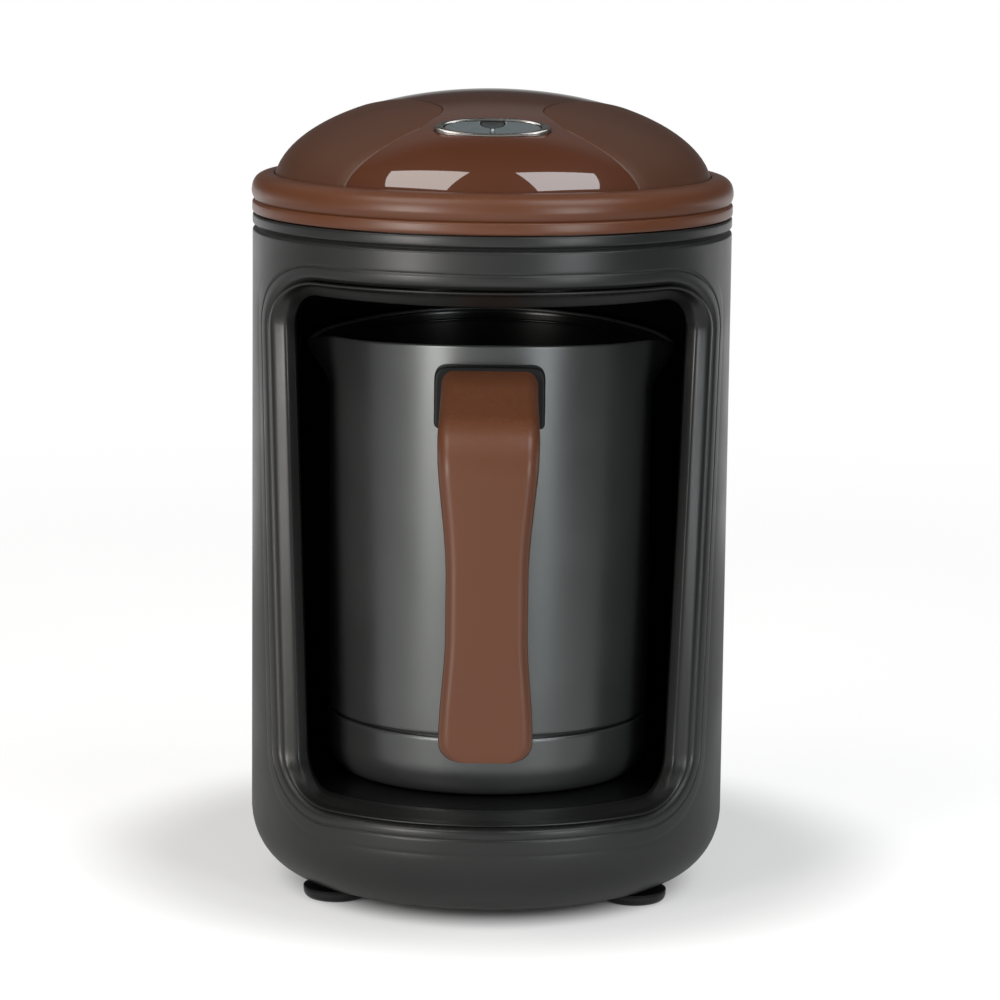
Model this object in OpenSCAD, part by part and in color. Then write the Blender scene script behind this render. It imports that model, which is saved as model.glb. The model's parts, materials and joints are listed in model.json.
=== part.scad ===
// Electric Turkish coffee maker: a drum with a lit bay for one pot, a domed control top,
// and a pot with two pouring spouts that slides straight out of the bay.
// Lengths are millimetres. Z = 0 is the table. +Y is the back, the handle points to -Y.

/* [Drum] */
// Outer diameter of the drum
drum_d = 140; // [136:1:150]
// Wall of the drum
drum_wall = 2.5; // [2:0.1:3]
// How far the rounding under the drum runs inwards
round_in = 16.6; // [12:0.2:20]
// How far the rounding under the drum runs upwards
round_up = 19; // [14:0.5:24]
// Height of the rim groove under the seam, measured down from the drum's top edge
groove_drop = 3.7; // [3:0.1:6]
// Depth of the rim groove
groove_depth = 0.5; // [0.3:0.1:1]

/* [Base] */
// Height of the rubber feet
foot_h = 3.4; // [2.5:0.1:5]
// Diameter of a rubber foot
foot_d = 19; // [14:0.5:20]
// How far a foot's middle lies inside the base plate's edge
foot_in = 5.5; // [5:0.1:9]
// Direction of a foot from the middle, measured from the side
foot_a = 33.7; // [25:0.1:55]
// Thickness of the base plate
base_t = 2.6; // [2:0.1:3.5]
// Height of the compartment between the base plate and the bay floor
base_room = 26; // [24:0.5:34]
// Thickness of the bay floor
floor_t = 2; // [1.6:0.1:3]
// Size of the power board, side to side
power_board_x = 60; // [50:1:66]
// Size of the power board, front to back
power_board_y = 44; // [36:1:48]
// Height of the posts under the power board
standoff_h = 5; // [3:0.5:6]
// Thickness of the circuit boards
board_t = 1.6; // [1:0.1:2]

/* [Bay] */
// Inner height of the bay
bay_h = 153; // [148:1:170]
// Room between the bay liner and the drum's wall, for the socket and the wires
service_room = 10.6; // [10:0.1:16]
// Wall of the bay liner
liner_t = 1.6; // [1.2:0.1:2]
// Gap between a spout's tip and the bay liner
spout_gap = 1.3; // [1:0.1:2.5]
// Gap between the bay floor and the pot standing in the bay
stand_gap = 0.3; // [0.2:0.05:0.5]
// Width of the frame round the window, seen from the front, at each side
frame_side = 9.2; // [8.6:0.1:10]
// Height of the frame round the window, seen from the front, at the sill
frame_sill = 3.1; // [2.6:0.1:4]
// Height of the frame round the window, seen from the front, at the lintel
frame_lintel = 3.3; // [2.8:0.1:4]
// How far the top of the window lies below the bay's ceiling
lintel_drop = 3.7; // [3:0.1:8]
// How much narrower the window is at each side of the sill than at the lintel
window_taper = 5.4; // [3:0.1:6]
// Corner radius of the window
window_corner = 15; // [12:0.5:18]
// How far behind the drum's face the frame's inner lip ends
frame_depth = 9.7; // [8:0.1:11]

/* [Top] */
// Thickness of the top deck
deck_t = 2.5; // [2:0.1:3.5]
// Height from the top deck to the drum's top edge
head_room = 8.9; // [8:0.1:14]
// Height of the brown collar above the drum
collar_h = 10.4; // [9:0.1:14]
// Rounding radius of the collar's lip
lip_r = 3.1; // [2.5:0.1:3.4]
// Rise of the dome above its rim
dome_h = 28.6; // [24:0.2:34]
// Wall of the dome
dome_wall = 2.4; // [2.2:0.1:3]
// Thickness of the two satin lobes laid into the dome
lobe_t = 1.3; // [1:0.1:1.4]

/* [Controls] */
// Plan distance of the control oval's middle from the dome's rim
control_in = 20.1; // [18:0.1:24]
// Length of the chrome oval
oval_l = 34; // [30:0.5:36]
// Width of the chrome oval
oval_w = 11.8; // [11:0.2:13]
// Wall of the chrome oval
oval_wall = 1.0; // [0.8:0.1:1.2]
// How far the oval stands above the dome
oval_proud = 0.4; // [0.3:0.1:1]
// Travel of a push pad
pad_travel = 0.8; // [0.4:0.1:1]
// Depth of the control board below the dome
board_depth = 13; // [11.5:0.5:15]

/* [Pot] */
// Room between the pot's wall and the bay's wall
pot_room = 7.9; // [6.5:0.1:11]
// Height of the pot's metal body
pot_h = 113.2; // [104:0.2:118]
// Height of the skirt under the pot's body
skirt_h = 17.2; // [16:0.2:20]
// Height of the joint between skirt and body
skirt_joint = 0.7; // [0.4:0.1:1]
// Wall of the pot
pot_wall = 1; // [0.8:0.1:1.5]
// Height over which the wall flares out into a spout
spout_h = 19; // [12:0.5:24]
// How far a spout's tip dips below the rim
spout_dip = 3.4; // [1:0.1:4]

/* [Handle] */
// Free space for the fingers between pot and grip
grip_gap = 29.6; // [26:0.2:34]
// Thickness of the grip
grip_t = 13.5; // [12:0.1:16]
// Height of the arm that joins the grip to the pot
arm_t = 15; // [14:0.1:16]
// Fall of the arm towards the grip, in degrees
arm_fall = 18; // [12:1:20]
// Distance from the pot's rim down to the arm's top edge
arm_drop = 6.3; // [5.5:0.1:9]
// Width of the grip at its top
grip_w_top = 27.7; // [25:0.1:30]
// Width of the grip at its waist
grip_w_waist = 22.3; // [20:0.1:24]
// Width of the grip at its foot
grip_w_foot = 25.8; // [23:0.1:28]
// Height of the grip's foot above the pot's foot
grip_foot_up = 20.4; // [14:0.2:30]
// Thickness of the black bracket between pot and handle
bracket_t = 4.6; // [4:0.1:6]
// Width of the bracket
bracket_w = 31.4; // [30:0.2:34]
// Height of the bracket
bracket_h = 18; // [17:0.2:20]

/* [Cord inlet] */
// Radius of the bore that the mains cord passes through
cord_r = 3.4; // [3:0.1:4]
// Thickness of the gland's outer flange
gland_flange = 1.3; // [1:0.1:2]

/* [Hidden] */

$fn = 72;
overcut = 1;        // how far a cut runs past the face that it opens
assembly_gap = 0.15; // between pieces that are pushed into each other
bore_gap = 0.07;    // running fit of a guided stem
seat_gap = 0.05;    // between a stem and what it pushes
black = [0.13, 0.13, 0.135];
gloss_black = [0.04, 0.04, 0.045];
brown = [0.34, 0.22, 0.18];
gloss_brown = [0.30, 0.14, 0.07];
anthracite = [0.25, 0.26, 0.27];
steel = [0.72, 0.73, 0.74];
copper = [0.78, 0.5, 0.3];
board_green = [0.1, 0.35, 0.2];

// Levels, from the table upwards
body_r = drum_d / 2;
inner_r = body_r - drum_wall;
base_top = foot_h + base_t;
floor_z = base_top + base_room + floor_t;
ceiling_z = floor_z + bay_h;
deck_top = ceiling_z + deck_t;
seam_gap = 0.4;
drum_top = deck_top + head_room;
collar_z = drum_top + seam_gap;
collar_top = drum_top + collar_h;

// Bay
liner_out = inner_r - service_room;
bay_half = liner_out - liner_t;
lip_r_back = body_r - frame_depth;
lip_gap = 0.25;

// Pot
pot_r = bay_half - pot_room;
spout_reach = bay_half - spout_gap;
pot_z = floor_z + stand_gap;
skirt_top = pot_z + skirt_h;
cup_z = skirt_top + skirt_joint;
rim_z = cup_z + pot_h;
cup_floor = 1.2;

// Handle
grip_back = pot_r + grip_gap;
grip_front = grip_back + grip_t;
arm_start = pot_r + bracket_t;

// The whole part is centred on its footprint box: the drum's axis lies at axis_y.
gland_back = body_r + gland_flange;
axis_y = (grip_front - gland_back) / 2;

// Window
window_top = ceiling_z - lintel_drop;
window_bottom = floor_z - frame_sill;
window_half_top = bay_half - 0.3 + frame_side + 0.6;
window_half_bottom = window_half_top - window_taper;
corner_top_z = window_top - window_corner;
corner_bottom_z = window_bottom + window_corner;
window_gap = 0.35;

module on_axis() {
    translate([0, axis_y, 0]) children();
}

// Points of an elliptical arc from angle a0 to a1
function arc(cx, cy, rx, ry, a0, a1, n) =
    [for (i = [0:n]) let (a = a0 + (a1 - a0) * i / n) [cx + rx * cos(a), cy + ry * sin(a)]];

function smooth(t) = let (c = min(1, max(0, t))) c * c * (3 - 2 * c);

function mix(a, b, t) = a + (b - a) * t;

// Faces of a closed tube: rings of n points, m rings, joined end to end or capped
function ring_faces(n, m, loop) = concat(
    [for (j = [0:m - (loop ? 1 : 2)], i = [0:n - 1])
        let (a = j * n + i, b = j * n + (i + 1) % n, c = ((j + 1) % m) * n)
        [a, b, c + (i + 1) % n]],
    [for (j = [0:m - (loop ? 1 : 2)], i = [0:n - 1])
        let (a = j * n + i, c = ((j + 1) % m) * n)
        [a, c + (i + 1) % n, c + i]],
    loop ? [] : [[for (i = [n - 1:-1:0]) i], [for (i = [0:n - 1]) (m - 1) * n + i]]);

// A tube swept along a route, its rings square to the route
module swept_tube(route, r, sides) {
    last = len(route) - 1;
    rings = [for (k = [0:last])
        let (ahead = route[min(last, k + 1)], behind = route[max(0, k - 1)], d = ahead - behind,
            t = d / norm(d), side = abs(t[0]) < 0.9 ? [1, 0, 0] : [0, 1, 0],
            u0 = cross(t, side), u = u0 / norm(u0), v = cross(t, u))
        for (i = [0:sides - 1])
            let (a = 360 * i / sides) route[k] + r * cos(a) * u + r * sin(a) * v];
    polyhedron(rings, ring_faces(sides, last + 1, false), convexity = 6);
}

// A screw that points along +Z, with its head's top face at Z = 0
module screw(shank_r, shank_l, head_r, head_h) {
    cylinder(r = head_r, h = head_h);
    translate([0, 0, head_h]) cylinder(r = shank_r, h = shank_l);
}

// ---- drum ----

bottom_r = body_r - round_in;
round_z = foot_h + round_up;
base_r = bottom_r + 4.4;
base_hole_r = base_r + 0.2;
round_a = acos((base_hole_r - bottom_r) / round_in);
round_a_in = acos((base_hole_r - bottom_r) / (round_in - drum_wall));
ledge_w = 2.4;
ledge_h = 2;
deck_boss_r = 3.8;
deck_boss_at = inner_r - deck_boss_r + 0.4;
deck_boss_h = 14;
deck_boss_angles = [0, 60, 120, 180];
deck_pilot_r = 1.35;
gland_z = 27;
gland_r = 5;

function half_w(z) =
    mix(window_half_bottom, window_half_top, (z - window_bottom) / (window_top - window_bottom));

// The window's outline, moved inwards by s at the sides, t at the top and b at the bottom.
// Every outline has the same number of points, so that outlines can be skinned together.
edge_n = 14;
side_n = 4;
corner_n = 8;
function window_loop(s, t, b) =
    let (xt = half_w(corner_top_z) - window_corner, xb = half_w(corner_bottom_z) - window_corner,
        rx = window_corner - s, rt = window_corner - t, rb = window_corner - b)
    concat(
        [for (i = [1:edge_n - 1]) [mix(-xb, xb, i / edge_n), corner_bottom_z - rb]],
        arc(xb, corner_bottom_z, rx, rb, -90, 0, corner_n),
        [for (i = [1:side_n - 1])
            [mix(xb, xt, i / side_n) + rx, mix(corner_bottom_z, corner_top_z, i / side_n)]],
        arc(xt, corner_top_z, rx, rt, 0, 90, corner_n),
        [for (i = [1:edge_n - 1]) [mix(xt, -xt, i / edge_n), corner_top_z + rt]],
        arc(-xt, corner_top_z, rx, rt, 90, 180, corner_n),
        [for (i = [1:side_n - 1])
            [-mix(xt, xb, i / side_n) - rx, mix(corner_top_z, corner_bottom_z, i / side_n)]],
        arc(-xb, corner_bottom_z, rx, rb, 180, 270, corner_n));

module drum_wall_profile() {
    polygon(concat(
        arc(bottom_r, round_z, round_in, round_up, -round_a, 0, 9),
        [[body_r, drum_top - groove_drop - 0.5],
            [body_r - groove_depth, drum_top - groove_drop - 0.2],
            [body_r - groove_depth, drum_top - groove_drop + 0.2],
            [body_r, drum_top - groove_drop + 0.5],
            [body_r, drum_top], [inner_r, drum_top]],
        arc(bottom_r, round_z, round_in - drum_wall, round_up - drum_wall, 0, -round_a_in, 9)));
}

module body_shell() {
    color(black) on_axis() difference() {
        union() {
            rotate_extrude() drum_wall_profile();
            rotate_extrude() translate([base_hole_r - ledge_w, base_top])
                square([ledge_w + 1.8, ledge_h]);
            for (a = deck_boss_angles)
                rotate(a) translate([deck_boss_at, 0, ceiling_z - deck_boss_h])
                    cylinder(r = deck_boss_r, h = deck_boss_h);
        }
        rotate([90, 0, 0]) linear_extrude(body_r + overcut) polygon(window_loop(0, 0, 0));
        for (a = deck_boss_angles)
            rotate(a) translate([deck_boss_at, 0, ceiling_z - deck_boss_h + 3])
                cylinder(r = deck_pilot_r, h = deck_boss_h);
        translate([0, inner_r - 3, gland_z]) rotate([-90, 0, 0])
            cylinder(r = gland_r + assembly_gap, h = drum_wall + 6);
    }
}

// ---- window frame ----

// Section of the frame: inset at the sides, lintel and sill, and the radius that it lies on.
// It runs from the outer edge over the bead and down the slanted reveal to the inner lip.
bead_side = frame_side * 0.51;
bead_lintel = frame_lintel * 0.85;
bead_sill = frame_sill * 0.62;
bead_round = 1;
reveal_depth = 7.5;
frame_section = [
    [window_gap, window_gap, window_gap, body_r - bead_round],
    [bead_round, bead_round * 0.8, bead_round * 0.7, body_r - 0.1],
    [bead_side - bead_round * 0.7, bead_lintel - bead_round * 0.6, bead_sill - bead_round * 0.5,
        body_r - 0.2],
    [bead_side, bead_lintel, bead_sill, body_r - bead_round],
    [frame_side, frame_lintel, frame_sill, body_r - reveal_depth],
    [frame_side, frame_lintel, frame_sill, lip_r_back],
    [frame_side - liner_t, frame_lintel - liner_t, frame_sill - liner_t, lip_r_back],
    [frame_side * 0.39, frame_lintel * 0.36, frame_sill * 0.26, inner_r - bead_round],
    [window_gap, window_gap, window_gap, inner_r - 0.3]];

module front_bezel() {
    loops = [for (s = frame_section)
        [for (p = window_loop(s[0], s[1], s[2])) [p[0], -sqrt(s[3] * s[3] - p[0] * p[0]), p[1]]]];
    n = len(loops[0]);
    color(black) on_axis()
        polyhedron([for (l = loops) each l], ring_faces(n, len(loops), true), convexity = 8);
}

// ---- bay ----

socket_z = pot_z + 10.2;
socket_w = 32;
socket_h = 15;
socket_front = liner_out + 0.3;
socket_back = inner_r - 2.6;
pad_margin = 1;
blade_pitch = 6;
blade_t = 1;
blade_h = 6;

socket_screw_x = socket_w / 2 - 3;
socket_screw_r = 1.1;
socket_screw_head_r = 2.1;
socket_screw_head_h = 1.1;
socket_screw_l = 7.5;

// Places of the socket's screws: their heads seat at Z = 0, and they point along +Z to the back
module at_socket_screws() {
    for (x = [-1, 1])
        translate([x * socket_screw_x, socket_front - 2, socket_z]) rotate([-90, 0, 0]) children();
}

// Plan of the bay: straight sides and a round back
module bay_plan(half) {
    circle(r = half);
    translate([-half, -body_r]) square([2 * half, body_r]);
}

module bay_liner() {
    color(gloss_black) on_axis() difference() {
        intersection() {
            union() {
                translate([0, 0, floor_z]) linear_extrude(bay_h) difference() {
                    bay_plan(liner_out);
                    bay_plan(bay_half);
                }
                translate([-socket_w / 2 - pad_margin, bay_half - 5, socket_z - socket_h / 2 - pad_margin])
                    cube([socket_w + 2 * pad_margin, socket_front - bay_half + 5,
                        socket_h + 2 * pad_margin]);
            }
            cylinder(r = lip_r_back - lip_gap, h = ceiling_z);
        }
        translate([0, 0, floor_z - overcut]) cylinder(r = bay_half, h = bay_h);
        translate([-blade_pitch * 1.7, bay_half - 6, socket_z - blade_h * 0.7])
            cube([blade_pitch * 3.4, 12, blade_h * 1.4]);
        at_socket_screws() {
            cylinder(r = socket_screw_r + 0.15, h = socket_screw_l);
            translate([0, 0, -socket_screw_l]) cylinder(r = socket_screw_head_r + 0.2, h = socket_screw_l);
        }
    }
}

post_in = 10.1;
post_a = 57;
post_r = 3.6;
post_pilot_r = 1.35;

// Four places on a circle of radius r, at angle a to both sides of the X axis
module at_four(r, a) {
    for (x = [-1, 1], y = [-1, 1]) translate([x * r * cos(a), y * r * sin(a), 0]) children();
}

module at_posts() {
    at_four(base_r - post_in, post_a) children();
}

module bay_floor() {
    color(gloss_black) on_axis() difference() {
        union() {
            intersection() {
                translate([0, 0, floor_z - floor_t]) linear_extrude(floor_t) bay_plan(liner_out);
                cylinder(r = lip_r_back - lip_gap, h = ceiling_z);
            }
            at_posts() translate([0, 0, base_top]) cylinder(r = post_r, h = base_room + floor_t / 2);
        }
        at_posts() translate([0, 0, base_top - overcut]) cylinder(r = post_pilot_r, h = 15);
    }
}

// ---- base ----

screw_r = 1.25;
screw_l = 12;
screw_head_r = 2.8;
screw_head_h = 1.4;
foot_stud_r = 2.6;
foot_stud_h = 4;
clamp_y = inner_r - 17.5;
clamp_w = 22;
clamp_d = 6;
clamp_split = 0.3;
clamp_screw_x = 7.5;
standoff_x = power_board_x / 2 - 3;
standoff_y = power_board_y / 2 - 3;

module at_standoffs() {
    for (x = [-1, 1], y = [-1, 1]) translate([x * standoff_x, y * standoff_y, 0]) children();
}

module at_feet() {
    at_four(base_r - foot_in, foot_a) children();
}

module base_plate() {
    color(black) on_axis() difference() {
        union() {
            rotate_extrude() polygon([[0, foot_h], [bottom_r, foot_h],
                [base_r, foot_h + 0.7], [base_r, base_top], [0, base_top]]);
            at_standoffs() translate([0, 0, base_top]) cylinder(r = 2.6, h = standoff_h);
            translate([-clamp_w / 2, clamp_y - clamp_d / 2, base_top - 0.5])
                cube([clamp_w, clamp_d, gland_z - clamp_split / 2 - base_top + 0.5]);
        }
        at_posts() {
            translate([0, 0, foot_h - overcut]) cylinder(r = screw_r + 0.2, h = base_t + 2);
            translate([0, 0, foot_h - overcut])
                cylinder(r = screw_head_r + 0.2, h = screw_head_h + overcut);
        }
        at_feet() translate([0, 0, foot_h - overcut])
            cylinder(r = foot_stud_r + bore_gap, h = base_t + 2 * overcut);
        at_standoffs() translate([0, 0, base_top + 0.4]) cylinder(r = 1.05, h = standoff_h);
        translate([0, clamp_y - clamp_d, gland_z]) rotate([-90, 0, 0])
            cylinder(r = cord_r, h = 2 * clamp_d);
        for (x = [-1, 1]) translate([x * clamp_screw_x, clamp_y, gland_z - 10])
            cylinder(r = 1.05, h = 12);
    }
}

module rubber_feet() {
    edge = 0.9;
    color([0.05, 0.05, 0.05]) on_axis() at_feet() rotate_extrude() polygon([[0, 0],
        [foot_d / 2 - edge, 0], [foot_d / 2, edge], [foot_d / 2, foot_h - edge],
        [foot_d / 2 - edge / 2, foot_h], [foot_stud_r, foot_h],
        [foot_stud_r, foot_h + foot_stud_h], [0, foot_h + foot_stud_h]]);
}

module base_screws() {
    color(steel) on_axis() at_posts() translate([0, 0, foot_h])
        screw(screw_r, screw_l, screw_head_r, screw_head_h - 0.05);
}

board_z = base_top + standoff_h;

module power_board() {
    color(board_green) on_axis() difference() {
        translate([-power_board_x / 2, -power_board_y / 2, board_z])
            cube([power_board_x, power_board_y, board_t]);
        at_standoffs() translate([0, 0, board_z - overcut]) cylinder(r = 1.2, h = board_t + 2);
    }
}

module board_screws() {
    color(steel) on_axis() {
        at_standoffs() translate([0, 0, board_z + board_t + 1]) rotate([180, 0, 0])
            screw(1, board_t + 3.5, 2.1, 1);
    }
    color(steel) at_controls() for (x = [-1, 1])
        translate([x * rib_x, 0, 1 - board_depth]) rotate([180, 0, 0])
            screw(1, board_t + 3.5, 2.1, 1);
}

// A box with its middle at (x, y) that stands on the power board
module on_board(x, y, size) {
    on_axis() translate([x - size[0] / 2, y - size[1] / 2, board_z + board_t]) cube(size);
}

relay_at = [-15, 7];
transformer_at = [11, -5];
capacitor_at = [-15, -12];
terminal_at = [8, 14];
terminal_size = [18, 8, 10];
relay_size = [19, 15.5, 15];
transformer_size = [23, 18, 16];
capacitor_size = [18, 8, 13];

module relay() {
    color([0.12, 0.25, 0.5]) on_board(relay_at[0], relay_at[1], relay_size);
}

module transformer() {
    core = 4;
    color([0.75, 0.6, 0.2]) {
        on_board(transformer_at[0], transformer_at[1],
            [transformer_size[0], transformer_size[1] - 2 * core, transformer_size[2]]);
        on_board(transformer_at[0], transformer_at[1],
            [transformer_size[0] - 2 * core, transformer_size[1], transformer_size[2] - core]);
    }
}

module capacitor() {
    color([0.7, 0.55, 0.15]) on_board(capacitor_at[0], capacitor_at[1], capacitor_size);
}

module terminal_block() {
    color([0.15, 0.45, 0.25]) difference() {
        on_board(terminal_at[0], terminal_at[1], terminal_size);
        on_axis() for (k = [-1, 0, 1])
            translate([terminal_at[0] + k * 5.4, terminal_at[1] + terminal_size[1] / 2 + overcut,
                board_z + board_t + 4]) rotate([90, 0, 0]) cylinder(r = 1.6, h = 5);
    }
}

module cable_gland() {
    color(black) on_axis() difference() {
        union() {
            translate([0, inner_r - 3, gland_z]) rotate([-90, 0, 0])
                cylinder(r = gland_r, h = drum_wall + 3 + gland_flange);
            translate([0, body_r, gland_z]) rotate([-90, 0, 0])
                cylinder(r = gland_r + 1.8, h = gland_flange);
            translate([0, inner_r - 3, gland_z]) rotate([-90, 0, 0])
                cylinder(r = gland_r + 1.4, h = 2.6);
        }
        translate([0, inner_r - 4, gland_z]) rotate([-90, 0, 0])
            cylinder(r = cord_r, h = drum_wall + 8);
    }
}

module cord_clamp() {
    bar_h = base_top + base_room - 0.4 - gland_z - clamp_split / 2;
    color(black) on_axis() difference() {
        translate([-clamp_w / 2, clamp_y - clamp_d / 2, gland_z + clamp_split / 2])
            cube([clamp_w, clamp_d, bar_h]);
        translate([0, clamp_y - clamp_d, gland_z]) rotate([-90, 0, 0])
            cylinder(r = cord_r, h = 2 * clamp_d);
        for (x = [-1, 1]) {
            translate([x * clamp_screw_x, clamp_y, gland_z]) cylinder(r = 1.3, h = 12);
            translate([x * clamp_screw_x, clamp_y, gland_z + bar_h - 1.2]) cylinder(r = 2.4, h = 4);
        }
    }
}

module clamp_screws() {
    head_z = base_top + base_room - 0.4;
    color(steel) on_axis() for (x = [-1, 1])
        translate([x * clamp_screw_x, clamp_y, head_z]) rotate([180, 0, 0]) screw(1, 8, 2.2, 1.2);
}

// ---- power socket at the back of the bay ----

slot_w = blade_t + 1.6;
slot_h = blade_h + 1;

module power_socket() {
    color([0.16, 0.16, 0.17]) on_axis() difference() {
        translate([-socket_w / 2, socket_front, socket_z - socket_h / 2])
            cube([socket_w, socket_back - socket_front, socket_h]);
        for (k = [-1, 0, 1])
            translate([k * blade_pitch - slot_w / 2, socket_front - overcut, socket_z - slot_h / 2])
                cube([slot_w, socket_back - socket_front - 1.2 + overcut, slot_h]);
        at_socket_screws() cylinder(r = socket_screw_r + 0.1, h = socket_screw_l + 0.5);
    }
}

module socket_contacts() {
    leaf = 0.5;
    depth = socket_back - socket_front - 1.3;
    color(copper) on_axis() for (k = [-1, 0, 1], side = [0, 1])
        translate([k * blade_pitch
            + (side == 0 ? -slot_w / 2 + seat_gap : slot_w / 2 - seat_gap - leaf),
            socket_front + 0.6, socket_z - blade_h / 2])
            cube([leaf, depth - 0.6, blade_h]);
}

module socket_screws() {
    color(steel) on_axis() at_socket_screws() translate([0, 0, -socket_screw_head_h])
        screw(socket_screw_r, socket_screw_l, socket_screw_head_r, socket_screw_head_h);
}

harness_r = 1.6;
pass_x = relay_at[0] - 6;
pass_r = (liner_out + inner_r) / 2;
pass_y = sqrt(pass_r * pass_r - pass_x * pass_x);

module socket_harness() {
    start = [terminal_at[0], terminal_at[1] + terminal_size[1] / 2 + 0.1, board_z + board_t + 7];
    back = socket_back - harness_r - 0.2;
    color([0.6, 0.12, 0.1]) on_axis() swept_tube([start, start + [0, 3, 0.2], start + [1, 9, 1],
        [start[0] + 3, 36, 23], [start[0] + 6, 48, 25], [start[0] + 7, 57, 27],
        [start[0] + 6.5, back - 1.4, 30.5], [start[0] + 4.5, back, 33],
        [start[0] + 4, back, socket_z - socket_h / 2 - 1.6],
        [start[0] + 4, back, socket_z - socket_h / 2 - 0.1]], harness_r, 8);
}

module control_harness() {
    x0 = relay_at[0];
    color([0.75, 0.75, 0.72]) on_axis() swept_tube([
        [x0, power_board_y / 2 - 3, board_z + board_t + harness_r + 0.05],
        [x0, power_board_y / 2 + 3, board_z + board_t + harness_r + 0.2],
        [x0 - 1, 33, 19], [x0 - 3, 44, 21.5], [pass_x + 1, 53, 24.5], [pass_x, pass_y - 1.5, 28.5],
        [pass_x, pass_y, 34], [pass_x, pass_y, 70], [pass_x, pass_y, 110], [pass_x, pass_y, 150],
        [pass_x, pass_y, ceiling_z - 5], [pass_x, pass_y, deck_top + 2.5],
        [pass_x + 1, pass_y - 2.5, deck_top + 6.5], [x0 - 4, 47, deck_top + 9],
        [x0 - 2, 30, deck_top + 10.2], [x0 + 1, 12, deck_top + 11.4], [x0 + 4, -6, deck_top + 13],
        [x0 + 6, -20, deck_top + 16.5], on_slope(x0 + 7, 6, -board_depth - board_t - 5),
        on_slope(x0 + 7, 6, -board_depth - board_t - 0.1)], harness_r, 8);
}

// ---- top deck ----

sensor_y = -6;
sensor_r = 11;
sensor_tube_r = 7;
sensor_drop = 8.5;
sensor_board_x = 22;
sensor_board_y = 16;
sensor_chip = 6;
sensor_reach = 6.5;
lens_r = 5.5;
deck_gap = 0.3;
deck_r = inner_r - deck_gap;
deck_screw_head_r = 2.2;
deck_screw_head_h = 1.2;
deck_screw_l = 9.5;

module at_deck_screws() {
    for (a = deck_boss_angles) rotate(a) translate([deck_boss_at, 0, 0]) children();
}

module top_deck() {
    color(black) on_axis() difference() {
        translate([0, 0, ceiling_z]) cylinder(r = deck_r, h = deck_t);
        at_deck_screws() {
            translate([0, 0, ceiling_z - overcut]) cylinder(r = screw_r + 0.2, h = deck_t + 2);
            translate([0, 0, deck_top - deck_screw_head_h - seat_gap])
                cylinder(r = deck_screw_head_r + 0.2, h = deck_t);
        }
        translate([0, sensor_y, ceiling_z - overcut])
            cylinder(r = sensor_tube_r + 0.1, h = deck_t + 2);
        translate([pass_x, pass_y, ceiling_z - overcut])
            cylinder(r = harness_r + 1.3, h = deck_t + 2);
    }
}

module deck_screws() {
    color(steel) on_axis() at_deck_screws() translate([0, 0, deck_top - seat_gap])
        rotate([180, 0, 0]) screw(screw_r, deck_screw_l, deck_screw_head_r, deck_screw_head_h);
}

module sensor_head() {
    color(gloss_black) on_axis() translate([0, sensor_y, ceiling_z]) rotate_extrude() polygon([
        [lens_r + 0.1, -sensor_drop], [sensor_r - 2, -sensor_drop], [sensor_r, -sensor_drop + 2.5],
        [sensor_r, 0], [sensor_tube_r, 0], [sensor_tube_r, deck_t], [lens_r + 0.1, deck_t]]);
}

module sensor_lens() {
    color([0.25, 0.05, 0.06]) on_axis() translate([0, sensor_y, ceiling_z - sensor_drop])
        rotate_extrude() polygon([[0, -0.8], [lens_r * 0.6, -0.6], [lens_r, 0.2], [lens_r, 1.8],
            [0, 1.8]]);
}

module sensor_board() {
    color(board_green) on_axis() translate([0, sensor_y, deck_top]) {
        translate([-sensor_board_x / 2, -sensor_board_y / 2, 0])
            cube([sensor_board_x, sensor_board_y, board_t]);
        translate([-sensor_chip / 2, -sensor_chip / 2, -sensor_reach])
            cube([sensor_chip, sensor_chip, sensor_reach + overcut]);
    }
}

// ---- collar and dome ----

collar_out = body_r + 0.3;
dome_r = body_r - 6.3;
dome_z = collar_top - 2.9;
control_y = dome_r - control_in;
ledge_z = collar_z + 1.2;
skirt_r_out = inner_r - 0.5;
skirt_r_in = skirt_r_out - 2.8;

module collar_ring() {
    lip_x = collar_out - lip_r;
    lip_z = collar_top - lip_r;
    ring_groove = collar_z + 3.9;
    color(brown) on_axis() rotate_extrude() polygon(concat(
        [[skirt_r_in, deck_top + 0.05], [skirt_r_out, deck_top + 0.05], [skirt_r_out, collar_z],
            [body_r - 0.2, collar_z], [collar_out - 0.2, collar_z + 0.4],
            [collar_out, ring_groove - 0.7], [collar_out - 0.9, ring_groove - 0.2],
            [collar_out - 0.9, ring_groove + 0.2], [collar_out, ring_groove + 0.8]],
        arc(lip_x, lip_z, lip_r, lip_r, 0, 160, 10),
        [[dome_r + 0.3, collar_top - 2.4], [dome_r + 0.3, ledge_z + 1.8], [dome_r - 3.2, ledge_z + 1.8],
            [dome_r - 3.2, ledge_z], [skirt_r_in, ledge_z - 2.4]]));
}

// Height of the dome's outer face above its rim plane at radius r
function dome_rise(r) = dome_h * sqrt(max(0, 1 - r * r / (dome_r * dome_r)));

module dome_band(inset, outset) {
    n = 16;
    rotate_extrude() polygon(concat(
        arc(0, dome_z, dome_r + outset, dome_h + outset, 0, 90, n),
        arc(0, dome_z, dome_r - inset, dome_h - inset, 90, 0, n)));
}

// Plan outline of the right lobe: a straight front edge, then a long curve to the back rim
lobe_corner = [17.5, 2.6 - control_y];
lobe_reach = dome_r + 6;
lobe_n = 12;
function lobe_curve(t) =
    let (a = lobe_corner, b = [11.5, -22], c = [24, -14], d = [dome_r * 0.88, dome_r * 0.66], q = 1 - t)
    q * q * q * a + 3 * q * q * t * b + 3 * q * t * t * c + t * t * t * d;

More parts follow.
